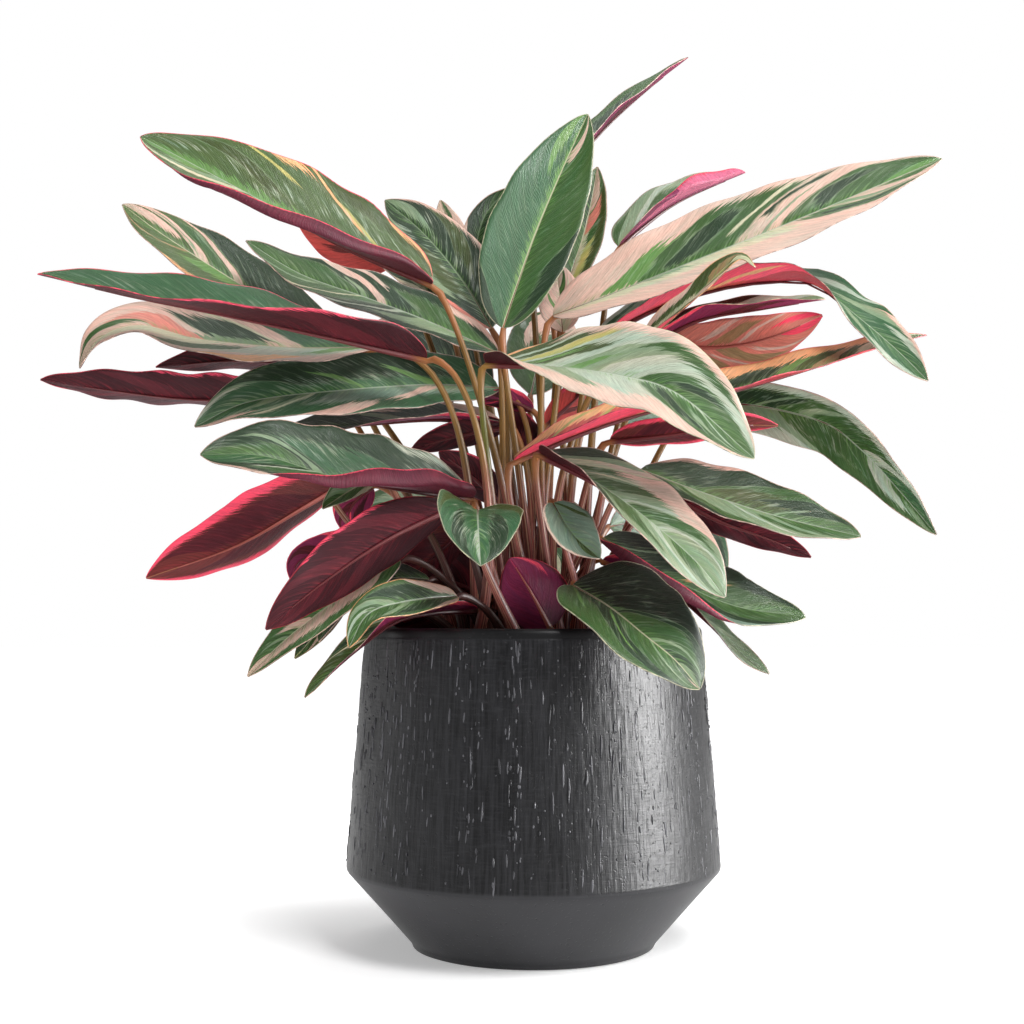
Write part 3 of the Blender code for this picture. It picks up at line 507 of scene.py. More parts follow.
UNDERSIDES = {
    "wine": look("m", "M 30 44 0 90, M 64 74 0 90, P 70 100 93 100",
                 "M 10 24 0 90, M 50 62 0 90, P 0 40 92 100", "M", "R", 0.6),
    "rosy": look("N", "M 0 60 10 60, P -60 100 80 100, R 70 80 60 100", "M 10 70 10 70, P -60 100 78 100",
                 "a", "P", 0.8),
    "scarlet": look("q", "N 20 34 0 60, P 60 66", "N 50 58 0 70, P 10 40 80 100", "P", "P", 0.3),
    "hem": look("h", "M -60 100 0 60", "M 40 56 0 90", "M", "P", 0.3),
    "violet": look("v", "m 0 50 30 90, P 60 66", "P -20 10 70 100, M 40 60 0 80", "P", "P", 0.5),
    "plum": look("v", "M -60 100 86 100", "P 0 30 70 96, M -60 100 90 100", "P", "P", 0.0),
    "pink": look("v", "j 20 100 60 100", "j 0 100 30 100, P 0 100 94 100", "p", "P", 0.3),
    "crimson": look("q", "P -60 40 30 100, a 10 14 0 80, M 40 100 0 60",
                    "P -60 44 20 100, a 30 33 0 90, R 40 60 0 90", "R", "P", 0.5),
    "bronze": look("r", "t 0 18 10 90, p 22 27 20 100, t 32 44 0 90, p 50 54 20 100, P 72 100",
                   "p 14 20 30 100, t 26 40 10 80, p 44 48 10 100, P 60 100 40 100", "p", "P", 0.2),
}


def wall_radius(height):
    """The pot's outer radius on its straight wall, from the shoulder up to the rim."""
    share = (height - SHOULDER_HEIGHT) / (POT_HEIGHT - SHOULDER_HEIGHT)
    return SHOULDER_RADIUS + (RIM_RADIUS - SHOULDER_RADIUS) * share


def hollow_radius(height):
    """The inner radius, one wall in from the outside."""
    if height >= SHOULDER_HEIGHT:
        return wall_radius(height) - POT_WALL
    share = (height - POT_FLOOR) / (SHOULDER_HEIGHT - POT_FLOOR)
    foot = FOOT_RADIUS - POT_WALL
    return foot + (SHOULDER_RADIUS - POT_WALL - foot) * share


def seen(x, z, y):
    """The true place of a point given as it looks from the front, at its depth."""
    reach = (y - FRONT_VIEW.y) / -FRONT_VIEW.y
    return Vector((x * reach, y, FRONT_VIEW.z + (z - FRONT_VIEW.z) * reach))


def smooth_line(points, steps=12):
    """A Catmull-Rom curve through the points, as a dense list."""
    ends = [points[0] * 2 - points[1]] + points + [points[-1] * 2 - points[-2]]
    line = []
    for p0, p1, p2, p3 in zip(ends, ends[1:], ends[2:], ends[3:]):
        for step in range(steps):
            t = step / steps
            line.append(0.5 * (2 * p1 + (p2 - p0) * t + (2 * p0 - 5 * p1 + 4 * p2 - p3) * t * t
                               + (3 * p1 - p0 - 3 * p2 + p3) * t ** 3))
    line.append(points[-1].copy())
    return line


def gaps(line):
    """The distances from each point of a line to the next."""
    return [(b - a).length for a, b in zip(line, line[1:])]


def fold_at(spec, share):
    """How far each half rises from flat at a share of the blade's length."""
    return math.radians(spec["fold"][0] + (spec["fold"][1] - spec["fold"][0]) * share)


def along(line, share):
    """The point at a share of a line's length, and the direction there."""
    lengths = gaps(line)
    left = share * sum(lengths)
    for index, length in enumerate(lengths):
        if left <= length or index == len(lengths) - 1:
            break
        left -= length
    point = line[index].lerp(line[index + 1], min(1.0, left / lengths[index]))
    before = line[max(0, index - 1)]
    after = line[min(len(line) - 1, index + 2)]
    return point, (after - before).normalized()


def three_way(values, share):
    """A smooth value through the ones at base, middle and tip."""
    base, middle, tip = values
    return (base * (1 - share) * (1 - 2 * share) + 4 * middle * share * (1 - share)
            + tip * share * (2 * share - 1))


def blade_share(share):
    """The blade's width at a share of its length, as a part of its full width."""
    rise = BASE_ROUNDNESS
    fall = rise * (1 - WIDEST_FROM_BASE) / WIDEST_FROM_BASE
    start = share / WIDEST_FROM_BASE
    rest = (1 - share) / (1 - WIDEST_FROM_BASE)
    return start ** rise * max(rest, 0.0) ** fall


def facing_front(point, way):
    """The direction square to the way that looks most at the viewer."""
    to_front = FRONT_VIEW - point
    return (to_front - way * to_front.dot(way)).normalized()


def blade_frames(spec, stations):
    """Point, direction, upper-face normal and side direction of the midrib at each station."""
    line = smooth_line([seen(*point) for point in spec["rib"]])
    middle_point, middle_way = along(line, 0.5)
    upward = middle_way.cross(facing_front(middle_point, middle_way))
    if upward.z < 0 or (abs(upward.z) < 0.12 and upward.x > 0):
        upward = -upward
    frames = []
    for share in stations:
        point, way = along(line, share)
        facing = facing_front(point, way)
        side = way.cross(facing)
        if side.dot(upward) < 0:
            side = -side
        turn = math.radians(three_way(spec["turn"], share))
        normal = facing * math.cos(turn) + side * math.sin(turn)
        across = side * math.cos(turn) - facing * math.sin(turn)
        frames.append((point, way, normal, across))
    return frames


def blade_ring(spec, share, frame, margin):
    """Six points round the blade: upper margin, rib and margin, then the same three beneath."""
    point, way, normal, across = frame
    half = max(TIP_HALF_WIDTH, spec["half_width"] * blade_share(share)) + margin
    fold = fold_at(spec, share)
    thin = BLADE_THICKNESS / 2 + margin
    left_way = across * math.cos(fold) + normal * math.sin(fold)
    right_way = -across * math.cos(fold) + normal * math.sin(fold)
    left_up = normal * math.cos(fold) - across * math.sin(fold)
    right_up = normal * math.cos(fold) + across * math.sin(fold)
    rib_up = normal * (thin / math.cos(fold))
    keel = RIB_DEPTH * (1 - share) ** 2
    left = point + left_way * half
    right = point + right_way * half
    return [left + left_up * thin, point + rib_up, right + right_up * thin,
            right - right_up * thin, point - rib_up - normal * keel, left - left_up * thin]


def stalk_ring(point, normal, across, radius):
    """Six points round the stalk, in the same order as the blade's."""
    turns = [math.radians(angle) for angle in (30, 90, 150, 210, 270, 330)]
    return [point + across * (radius * math.cos(turn)) + normal * (radius * math.sin(turn)) for turn in turns]


def stalk_curve(root, sway, base, way, bend):
    """A stalk's line: up out of the soil, swaying aside, and into the blade's base along its midrib."""
    foot = Vector((root[0], root[1], SOIL_HEIGHT + SOIL_CROWN))
    rise = (base - foot).length
    aside = Vector((sway[0], sway[1], 0)) * min(1.0, rise / LONG_STALK)
    first = foot + Vector((0, 0, UPRIGHT_SHARE * rise)) + aside
    second = base - way * min(bend, LONGEST_BEND * rise) + aside
    line = []
    for step in range(STALK_STEPS + 1):
        t = step / STALK_STEPS
        line.append(foot * (1 - t) ** 3 + first * (3 * t * (1 - t) ** 2)
                    + second * (3 * t * t * (1 - t)) + base * t ** 3)
    return line


def crown_places():
    """Places for the stalks: a staggered grid inside the crown's oval, nearest the middle first."""
    row_step = STALK_SPACING * math.sqrt(3) / 2
    rows = math.ceil(CROWN_REACH[1] / row_step)
    columns = math.ceil(CROWN_REACH[0] / STALK_SPACING) + 1
    places = []
    for row in range(-rows, rows + 1):
        shift = 0.5 * STALK_SPACING * (row % 2)
        for column in range(-columns, columns + 1):
            x = column * STALK_SPACING + shift
            y = row * row_step
            if (x / CROWN_REACH[0]) ** 2 + (y / CROWN_REACH[1]) ** 2 <= 1:
                places.append((CROWN_CENTRE[0] + x, CROWN_CENTRE[1] + y))
    return places


def choose_roots():
    """Each stalk's place in the soil: on the side to which its leaf leans.

    Places are first handed out in turn, then swapped as long as a swap brings two stalks nearer to
    where they lean, so that no two stalks cross at their feet.
    """
    wanted = []
    for spec in LEAVES:
        base = seen(*spec["rib"][0])
        wanted.append(Vector(spec["root"] or (base.x * LEAN[0], base.y * LEAN[1])))
    places = [Vector(place) for place in crown_places()]
    places.sort(key=lambda place: place.length)
    spare = [None] * (len(places) - len(wanted))
    holders = sorted(wanted, key=lambda want: want.length) + spare
    swapped = True
    while swapped:
        swapped = False
        for first in range(len(places)):
            for second in range(first + 1, len(places)):
                gain = 0.0
                for holder, here, there in ((holders[first], first, second),
                                            (holders[second], second, first)):
                    if holder is not None:
                        gain += (holder - places[here]).length_squared
                        gain -= (holder - places[there]).length_squared
                if gain > 0.001:
                    holders[first], holders[second] = holders[second], holders[first]
                    swapped = True
    roots = {}
    for spec, want in zip(LEAVES, wanted):
        index = next(i for i, holder in enumerate(holders) if holder is want)
        roots[spec["name"]] = places[index]
    return roots


def stalk_frames(curve, base_frame, shares):
    """Point and side directions at each share of the stalk, turned on from those of the blade's base."""
    base, way, normal, across = base_frame
    frames = []
    for share in reversed(shares):
        point, direction = along(curve, share)
        if share == 0.0:
            direction = Vector((0, 0, 1))
        turn = way.rotation_difference(direction)
        normal = turn @ normal
        across = turn @ across
        way = direction
        frames.append((share, point, normal, across))
    return frames[::-1]


def leaf_rings(spec, root, sway, margin):
    """All rings of one leaf's solid from the bottom of its stalk to its tip."""
    frames = blade_frames(spec, BLADE_STATIONS)
    curve = stalk_curve(root, sway, frames[0][0], frames[0][1], spec["bend"])
    rings = []
    for share, point, normal, across in stalk_frames(curve, frames[0], STALK_STATIONS):
        radius = STALK_TOP_RADIUS + (STALK_FOOT_RADIUS - STALK_TOP_RADIUS) * (1 - share) ** 1.5 + margin
        if not rings:
            rings.append(stalk_ring(point - Vector((0, 0, ROOT_DEPTH)), normal, across, radius))
        rings.append(stalk_ring(point, normal, across, radius))
    return rings + [blade_ring(spec, share, frame, margin) for share, frame in zip(BLADE_STATIONS, frames)]


def shell(spec, root, sway):
    """A tree of the triangles between a leaf's rings, split as in its solid, with some room round it."""
    rings = leaf_rings(spec, root, sway, LEAF_CLEARANCE)
    count = len(SPLITS)
    triangles = []
    for station in range(len(rings) - 1):
        for side, split in enumerate(SPLITS):
            first = station * count + side
            right = station * count + (side + 1) % count
            after = first + count
            across = right + count
            if split == "falling":
                triangles += [(first, right, across), (first, across, after)]
            else:
                triangles += [(first, right, after), (right, across, after)]
    points = [point for ring in rings for point in ring]
    return BVHTree.FromPolygons(points, triangles, all_triangles=True)


def choose_sways(roots):
    """How far each stalk sways aside on its way up, so that it passes clear of every other leaf.

    A stalk that meets another leaf takes the smallest sway that meets the fewest. The order is
    loosened a little by chance, so that two stalks in each other's way don't wait for ever.
    """
    chance = random.Random(SWAY_SEED)
    turns = [math.tau * way / SWAY_WAYS for way in range(SWAY_WAYS)]
    ways = [(0, 0)]
    ways += [(step * math.cos(turn), step * math.sin(turn)) for step in SWAY_STEPS for turn in turns]
    sways = {spec["name"]: ways[0] for spec in LEAVES}
    shells = {spec["name"]: shell(spec, roots[spec["name"]], ways[0]) for spec in LEAVES}
    for round_number in range(SWAY_ROUNDS):
        all_clear = True
        for spec in LEAVES:
            name = spec["name"]
            others = [tree for other, tree in shells.items() if other != name]
            fewest = sum(bool(shells[name].overlap(tree)) for tree in others)
            if fewest == 0:
                continue
            all_clear = False
            for way in sorted(ways, key=lambda way: math.hypot(*way) + chance.uniform(0, SWAY_LOOSENESS)):
                tree = shell(spec, roots[name], way)
                met = sum(bool(tree.overlap(other)) for other in others)
                if met <= fewest:
                    fewest = met
                    sways[name] = way
                    shells[name] = tree
                if fewest == 0:
                    break
        if all_clear:
            break
    return sways


class Brush:
    """Adds nodes to one material."""

    def __init__(self, name):
        self.material = bpy.data.materials.new(name)
        self.material.use_nodes = True
        self.tree = self.material.node_tree
        self.shader = self.tree.nodes["Principled BSDF"]

    def put(self, socket, value):
        if isinstance(value, bpy.types.NodeSocket):
            self.tree.links.new(value, socket)
        elif isinstance(value, tuple) and len(value) == 3 and len(socket.default_value) == 4:
            socket.default_value = (*value, 1.0)
        else:
            socket.default_value = value

    def node(self, kind, inputs=(), **settings):
        node = self.tree.nodes.new("ShaderNode" + kind)
        for key, value in settings.items():
            setattr(node, key, value)
        for key, value in dict(inputs).items():
            self.put(node.inputs[key], value)
        return node

    def math(self, operation, *values):
        return self.node("Math", enumerate(values), operation=operation).outputs[0]

    def times(self, value, factor, extra=0.0):
        return self.math("MULTIPLY_ADD", value, factor, extra)

    def plus(self, first, second):
        return self.math("ADD", first, second)

    def rise(self, value, start, end):
        """0 before start, 1 after end, smooth between; it falls where end is less than start."""
        inputs = {"Value": value, "From Min": min(start, end), "From Max": max(start, end),
                  "To Min": float(start > end), "To Max": float(start <= end)}
        return self.node("MapRange", inputs, interpolation_type="SMOOTHSTEP").outputs[0]

    def mix(self, share, first, second, blend="MIX"):
        inputs = {0: share, 6: first, 7: second}
        return self.node("Mix", inputs, data_type="RGBA", blend_type=blend).outputs[2]

    def noise(self, *axes, detail=2.0, rough=0.5):
        """Noise over three axes, each a value, or a value and its scale."""
        scaled = [self.times(*axis) if isinstance(axis, tuple) else axis for axis in axes]
        inputs = {"Vector": self.node("CombineXYZ", enumerate(scaled)).outputs[0], "Scale": 1.0,
                  "Detail": detail, "Roughness": rough}
        return self.node("TexNoise", inputs).outputs[0]

    def uv(self, name):
        return self.node("SeparateXYZ", {0: self.node("UVMap", uv_map=name).outputs[0]}).outputs[:2]

    def place(self):
        """The x, y and z of the point in the object, in metres."""
        return self.node("SeparateXYZ", {0: self.node("TexCoord").outputs["Object"]}).outputs[:3]

    def finish(self, colour, roughness, gloss=0.5, relief=None, strength=0.0, depth=0.0):
        """Hands over the material; relief is a bump of the strength and the depth, in metres."""
        inputs = {"Base Color": colour, "Roughness": roughness, "Specular IOR Level": gloss}
        if relief is not None:
            bump = {"Strength": strength, "Distance": depth, "Height": relief}
            inputs["Normal"] = self.node("Bump", bump).outputs[0]
        for key, value in inputs.items():
            self.put(self.shader.inputs[key], value)
        return self.material


def strokes(text):
    """Reads "tone from to inner outer" strokes, in percent, parted by commas."""
    read = []
    for stroke in filter(None, (part.strip() for part in text.split(","))):
        tone, start, end, *sides = stroke.split()
        inner, outer = sides or (0, 100)
        read.append((tone, *(float(number) / 100 for number in (start, end, inner, outer))))
    return read


def painted_half(brush, ground, text, along, out, halo_tone):
    """The ground tone with one half's brush strokes over it, the dark ones with a thin halo."""
    colour = ground
    for tone, start, end, inner, outer in strokes(text):
        mask = 1.0
        for is_open, value, limit, soft in (
                (start <= -0.55, along, start, SOFT_ENDS), (end >= 0.99, along, end, -SOFT_ENDS),
                (inner <= 0.0, out, inner, SOFT_SIDES), (outer >= 1.0, out, outer, -SOFT_SIDES)):
            if not is_open:
                mask = brush.times(mask, brush.rise(value, limit - soft, limit + soft))
        if mask == 1.0:
            colour = TONES[tone]
            continue
        if tone in DARK_TONES:
            colour = brush.mix(brush.times(brush.rise(mask, 0.08, 0.4), 0.6), colour, halo_tone)
        colour = brush.mix(brush.rise(mask, 0.35, 0.65), colour, TONES[tone])
    return colour


def blade_finish(name, spec, seed, face):
    """Paint that follows the blade's own maps: blade (across, along), veins (along the strokes in
    share, along the side veins in centimetres) and width (centimetres from midrib and from edge)."""
    kind = FACES[face]
    brush = Brush(name)
    times, plus, rise, noise_of, mix = brush.times, brush.plus, brush.rise, brush.noise, brush.mix
    across, share = brush.uv("blade")
    along, vein_cm = brush.uv("veins")
    from_rib, from_edge = brush.uv("width")
    out = brush.math("ABSOLUTE", times(across, 2.0, -1.0))
    is_high = brush.math("GREATER_THAN", across, 0.5)
    side = times(is_high, 7.0, seed)
    drift = noise_of((along, 11.0), (out, 1.5), side, detail=1.0)
    streak = noise_of((along, 95.0), (out, 1.2), side, detail=2.5, rough=0.6)
    ray = noise_of((vein_cm, 5.0), (from_rib, 0.7), side, detail=2.5, rough=0.65)
    grain = noise_of((vein_cm, 16.0), (from_rib, 4.0), side, detail=3.0, rough=0.7)
    bent_along = plus(plus(along, times(drift, 0.10, -0.05)), times(streak, 0.03, -0.015))
    bent_out = plus(out, times(streak, 0.62, -0.31))
    ground, halo = TONES[spec["ground"]], TONES[kind["halo"]]
    low, high = (painted_half(brush, ground, spec[half], bent_along, bent_out, halo)
                 for half in ("low", "high"))
    colour = mix(is_high, low, high)

    # Side veins: a thin pale line each, and pale feathers between them that fade towards the margin
    bent_cm = plus(vein_cm, times(drift, 1.2, -0.6))
    wave = brush.math("SINE", times(bent_cm, math.tau / VEIN_PITCH * 10))
    patch = rise(noise_of((share, 7.0), (out, 2.6), plus(side, 3.0), detail=1.5), 0.42, 0.60)
    feather = rise(plus(ray, times(wave, 0.06)), 0.50, 0.66)
    feather = times(feather, times(patch, rise(bent_out, 0.95, 0.45)))
    colour = mix(times(feather, kind["feathers"] * spec["feathers"]), colour, TONES[kind["feather"]])
    line = times(rise(wave, 0.80, 1.0), rise(out, 1.0, 0.5))
    colour = mix(times(line, kind["veins"]), colour, TONES[kind["vein"]])
    tint = times(times(grain, 1.1, 0.45), times(ray, 1.3, 0.35))
    warm = times(drift, 0.7, 0.65)
    shade = brush.node("CombineXYZ", {0: times(tint, warm), 1: tint, 2: tint}).outputs[0]
    colour = mix(0.85, colour, shade, "MULTIPLY")

    # Midrib with side branches running out of it, and the thin edge
    rib = rise(brush.math("DIVIDE", from_rib, times(share, -0.060, 0.090)), 1.6, 0.4)
    rib = times(rib, times(grain, 0.8, 0.40))
    glow = times(rise(from_rib, 0.75, 0.03), rise(ray, 0.45, 0.66))
    colour = mix(times(glow, kind["glows"]), colour, TONES[kind["glow"]])
    colour = mix(times(rib, kind["ribs"]), colour, TONES[spec["rib"]])
    edge = rise(plus(from_edge, times(streak, 0.16, -0.08)), 0.07, 0.02)
    colour = mix(times(edge, 0.85), colour, TONES[spec["edge"]])

    fine = times(brush.math("SINE", times(bent_cm, math.tau / FINE_VEINS * 10)), 0.35)
    relief = times(plus(fine, plus(times(ray, 2.2), times(grain, 2.0))), rise(out, 0.0, 0.12))
    relief = brush.math("SUBTRACT", relief, times(rib, 2.0))
    return brush.finish(colour, times(grain, 0.30, kind["rough"]), kind["gloss"], relief, 0.6, 0.00025)


def edge_finish(name, tone):
    """The rim of a blade, spotted with darker patches."""
    brush = Brush(name)
    spots = brush.noise((brush.uv("veins")[1], 1.6), 0.5, 0.0)
    darker = tuple(0.25 * part for part in TONES[tone])
    return brush.finish(brush.mix(brush.rise(spots, 0.42, 0.62), darker, TONES[tone]), 0.5)


def stalk_finish(name, tones):
    """Striped sheath at the foot, brown above, and a paler knee under the blade; the foot's lightness darkens
    the foot, as painted shade on the shaded and dark maroon stalks.
    """
    brush = Brush(name)
    around, share = brush.uv("stalk")
    height = brush.place()[2]
    turn = brush.times(around, math.tau)
    stripes = brush.noise((brush.math("COSINE", turn), 3.2), (brush.math("SINE", turn), 3.2), (height, 9.0),
                          detail=3.0, rough=0.6)
    sheath, shaft, knee, keel, foot_light = tones
    # A foot lightness below 1 paints the foot darker: painted shade on the shaded and dark maroon stalks
    dark, rosy, pale = (tuple(foot_light * part for part in tone) for tone in FOOT_TONES)
    foot = brush.mix(brush.rise(stripes, 0.40, 0.60), dark, rosy)
    foot = brush.mix(brush.rise(stripes, 0.56, 0.66), foot, pale)
    dull, bright = (tuple(light * part for part in shaft) for light in (0.6, 1.7))
    body = brush.mix(brush.rise(stripes, 0.35, 0.65), dull, bright)
    drift = brush.noise((height, 30.0), stripes, 2.0, detail=1.0)
    top = brush.plus(height, brush.times(drift, 0.08, -0.04))
    colour = brush.mix(brush.rise(top, 0.270, 0.360), foot, body)
    colour = brush.mix(brush.rise(share, 0.80, 0.90), colour, brush.mix(stripes, knee, sheath))
    colour = brush.mix(brush.rise(share, 1.0, 1.06), colour, keel)
    return brush.finish(colour, brush.times(stripes, 0.2, 0.35), 0.25, stripes, 0.5, 0.0004)


def mesh_from(bm, name):
    mesh = bpy.data.meshes.new(name)
    bm.to_mesh(mesh)
    bm.free()
    return mesh


def placed(name, data):
    item = bpy.data.objects.new(name, data)
    bpy.context.scene.collection.objects.link(item)
    return item


def piece_from(name, bm, materials, node):
    """A finished piece on the one body, in place of the node."""
    mesh = mesh_from(bm, name)
    mesh.shade_smooth()
    for material in materials:
        mesh.materials.append(material)
    piece = placed(name, mesh)
    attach(piece, "root")
    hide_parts(node)
    return piece


def add_copies(bm, pattern, places):
    """Adds a copy of the pattern at each place."""
    shape = mesh_from(pattern, "pattern")
    for place in places:
        copy = shape.copy()
        copy.transform(place)
        bm.from_mesh(copy)
        bpy.data.meshes.remove(copy)
    bpy.data.meshes.remove(shape)


def write_maps(bm, names, marks):
    """Writes each vertex's marks into UV maps, two numbers a map."""
    bm.verts.index_update()
    layers = [bm.loops.layers.uv.new(name) for name in names]
    for face in bm.faces:
        for loop in face.loops:
            mark = marks[loop.vert.index]
            for number, layer in enumerate(layers):
                loop[layer].uv = mark[2 * number:2 * number + 2]


def turned(outline, columns):
    """A body turned about the upright axis, from radii and heights in millimetres."""
    bm = bmesh.new()
    verts = [bm.verts.new((radius * MM, 0, height * MM)) for radius, height in outline]
    edges = [bm.edges.new(pair) for pair in zip(verts, verts[1:])]
    bmesh.ops.spin(bm, geom=verts + edges, axis=(0, 0, 1), cent=(0, 0, 0), dvec=(0, 0, 0),
                   angle=math.tau, steps=columns, use_merge=True)
    bmesh.ops.remove_doubles(bm, verts=bm.verts, dist=MERGE)
    bmesh.ops.recalc_face_normals(bm, faces=bm.faces)
    return bm


def make_blade(spec, node, materials, seed):
    """The blade as a fine sheet: folded along the midrib, rippled by its side veins, wavy at the edge."""
    chance = random.Random(seed)
    points = [seen(*point) for point in spec["rib"]]
    length = sum(gaps(points))
    rows = max(30, round(length / BLADE_STEP))
    phase = chance.uniform(0, math.tau)
    waves = length / chance.uniform(*WAVE_LENGTHS)
    lean = chance.uniform(-0.04, 0.04)
    shares = [0.5 * row / rows + 0.25 * (1 - math.cos(math.pi * row / rows)) for row in range(rows + 1)]
    frames = blade_frames(spec, shares)
    slender = spec["half_width"] / length
    roll_start, roll_end, roll_most = spec["roll"]
    groove_depth, groove_width = RIB_GROOVE
    bm = bmesh.new()
    bmesh.ops.create_grid(bm, x_segments=BLADE_COLUMNS, y_segments=rows, size=1.0, calc_uvs=False)
    point, way, normal, across = frames[rows // 2]
    order = 1 if across.cross(way).dot(normal) > 0 else -1
    marks = []
    for index, vert in enumerate(bm.verts):
        row, column = divmod(index, BLADE_COLUMNS + 1)
        u = order * (2 * column / BLADE_COLUMNS - 1)
        share = shares[row]
        point, way, normal, across = frames[row]
        roll = min(1, max(0, (share - roll_start) / (roll_end - roll_start)))
        reach = abs(u) * (1 + roll_most * math.sin(math.pi * roll) * (u < 0))
        out = min(1, reach)
        half = spec["half_width"] * blade_share(share) * (1 + lean * math.copysign(1, u))
        half = max(TIP_HALF_WIDTH * 0.6, half)
        half *= 1 + 0.012 * math.sin(share * 31 + phase + u)
        fold = fold_at(spec, share)
        stroke = share - STROKE_SWEEP * slender * out ** STROKE_CURVE
        vein = share - VEIN_SWEEP * slender * out ** VEIN_CURVE
        lift = half * math.sin(fold) * out ** FOLD_CURVE
        wave = math.sin(share * waves * math.tau + phase + 1.7 * u)
        lift += MARGIN_WAVE * out ** 3 * wave * min(1, half / 12)
        ripple = math.sin(vein * length / VEIN_PITCH * math.tau + 2.2 * math.sin(vein * 13 + phase) + 0.8 * u)
        lift += VEIN_RISE * ripple * min(1, half / 14) * math.sin(math.pi * min(1, out * 1.02)) ** 0.7
        lift -= groove_depth * math.exp(-(out * half / groove_width) ** 2)
        flap = (reach - out) * half
        lift += flap * math.sin(ROLL_LEAN - fold)
        aside = out * half * math.cos(fold) - flap * math.cos(ROLL_LEAN - fold)
        vert.co = (point + across * math.copysign(aside, u) + normal * lift) * MM
        widths = abs(u) * half / 10, (1 - abs(u)) * half / 10
        marks.append(((u + 1) / 2, share, stroke, vein * length / 10, *widths))
    write_maps(bm, ("blade", "veins", "width"), marks)
    blade = piece_from("blade_" + spec["name"], bm, materials, node)
    sheet = blade.modifiers.new("sheet", "SOLIDIFY")
    sheet.thickness = BLADE_SHEET * MM
    sheet.offset = 0.0
    sheet.material_offset = 1
    sheet.material_offset_rim = 2


def make_stalk(spec, node, root, sway, material):
    """The stalk from under the soil to its knee, and on beneath the blade as the midrib's keel."""
    shares = [row / KEEL_ROWS for row in range(KEEL_ROWS - 1)]
    frames = blade_frames(spec, shares)
    curve = stalk_curve(root, sway, frames[0][0], frames[0][1], spec["bend"])
    length = sum(gaps(curve))
    top_radius = STALK_TOP_RADIUS * 0.9
    stations = []
    for share, point, normal, across in stalk_frames(curve, frames[0],
                                                     [row / STALK_ROWS for row in range(STALK_ROWS)]):
        radius = top_radius + (STALK_FOOT_RADIUS - top_radius) * (1 - share) ** 1.8
        to_blade = (1 - share) * length
        if to_blade < KNEE_LENGTH:
            swell = math.sin(math.pi * min(1, to_blade / KNEE_LENGTH)) ** 0.6
            radius += (KNEE_RADIUS - STALK_TOP_RADIUS) * swell
        stations.append((point, normal, across, radius, share))
    foot, normal, across, radius, share = stations[0]
    stations.insert(0, (foot - Vector((0, 0, ROOT_DEPTH)), normal, across, radius, -0.1))
    for share, (point, way, normal, across) in zip(shares, frames):
        radius = 0.3 + (STALK_TOP_RADIUS - 0.5) * (1 - share) ** 1.6
        stations.append((point - normal * (0.5 + 0.75 * radius), normal, across, radius, 1 + share))
    bm = bmesh.new()
    bmesh.ops.create_grid(bm, x_segments=STALK_COLUMNS, y_segments=len(stations) - 1, size=1.0)
    marks = []
    for index, vert in enumerate(bm.verts):
        row, column = divmod(index, STALK_COLUMNS + 1)
        point, normal, across, radius, share = stations[row]
        angle = math.tau * column / STALK_COLUMNS
        vert.co = (point + across * (radius * math.cos(angle)) + normal * (radius * math.sin(angle))) * MM
        marks.append((column / STALK_COLUMNS, share))
    write_maps(bm, ("stalk",), marks)
    bmesh.ops.remove_doubles(bm, verts=bm.verts, dist=MERGE / 10)
    bmesh.ops.holes_fill(bm, edges=[edge for edge in bm.edges if edge.is_boundary], sides=0)
    bmesh.ops.recalc_face_normals(bm, faces=bm.faces)
    piece_from("stalk_" + spec["name"], bm, [material], node)


def make_leaves():
    roots = choose_roots()
    sways = choose_sways(roots)
    unders = {name: blade_finish("under_" + name, painted, UNDER_SEED + index, "under")
              for index, (name, painted) in enumerate(UNDERSIDES.items())}
    edges = {tone: edge_finish("edge_" + tone, tone)
             for tone in sorted({spec["look"]["edge"] for spec in LEAVES})}
    stalks = {name: stalk_finish("stalk_" + name, tones) for name, tones in STALK_TONES.items()}
    for seed, spec in enumerate(LEAVES):
        name = spec["name"]
        painted = spec["look"]
        upper = blade_finish("upper_" + name, painted, SEED_STEP * seed, "upper")
        make_blade(spec, "leaf_" + name, [upper, unders[painted["under"]], edges[painted["edge"]]], seed)
        make_stalk(spec, "leaf_" + name, roots[name], sways[name], stalks[painted["stalk"]])
    upper = blade_finish("upper_inner", INNER_LOOK, INNER_PAINT_SEED, "upper")
    for seed, (node, under, spec) in enumerate(INNER_LEAVES):
        make_blade(spec, node, [upper, unders[under], edges[INNER_LOOK["edge"]]],
                   INNER_SHAPE_SEED + seed)
        make_stalk(spec, node, spec["root"], (0, 0), stalks[INNER_LOOK["stalk"]])


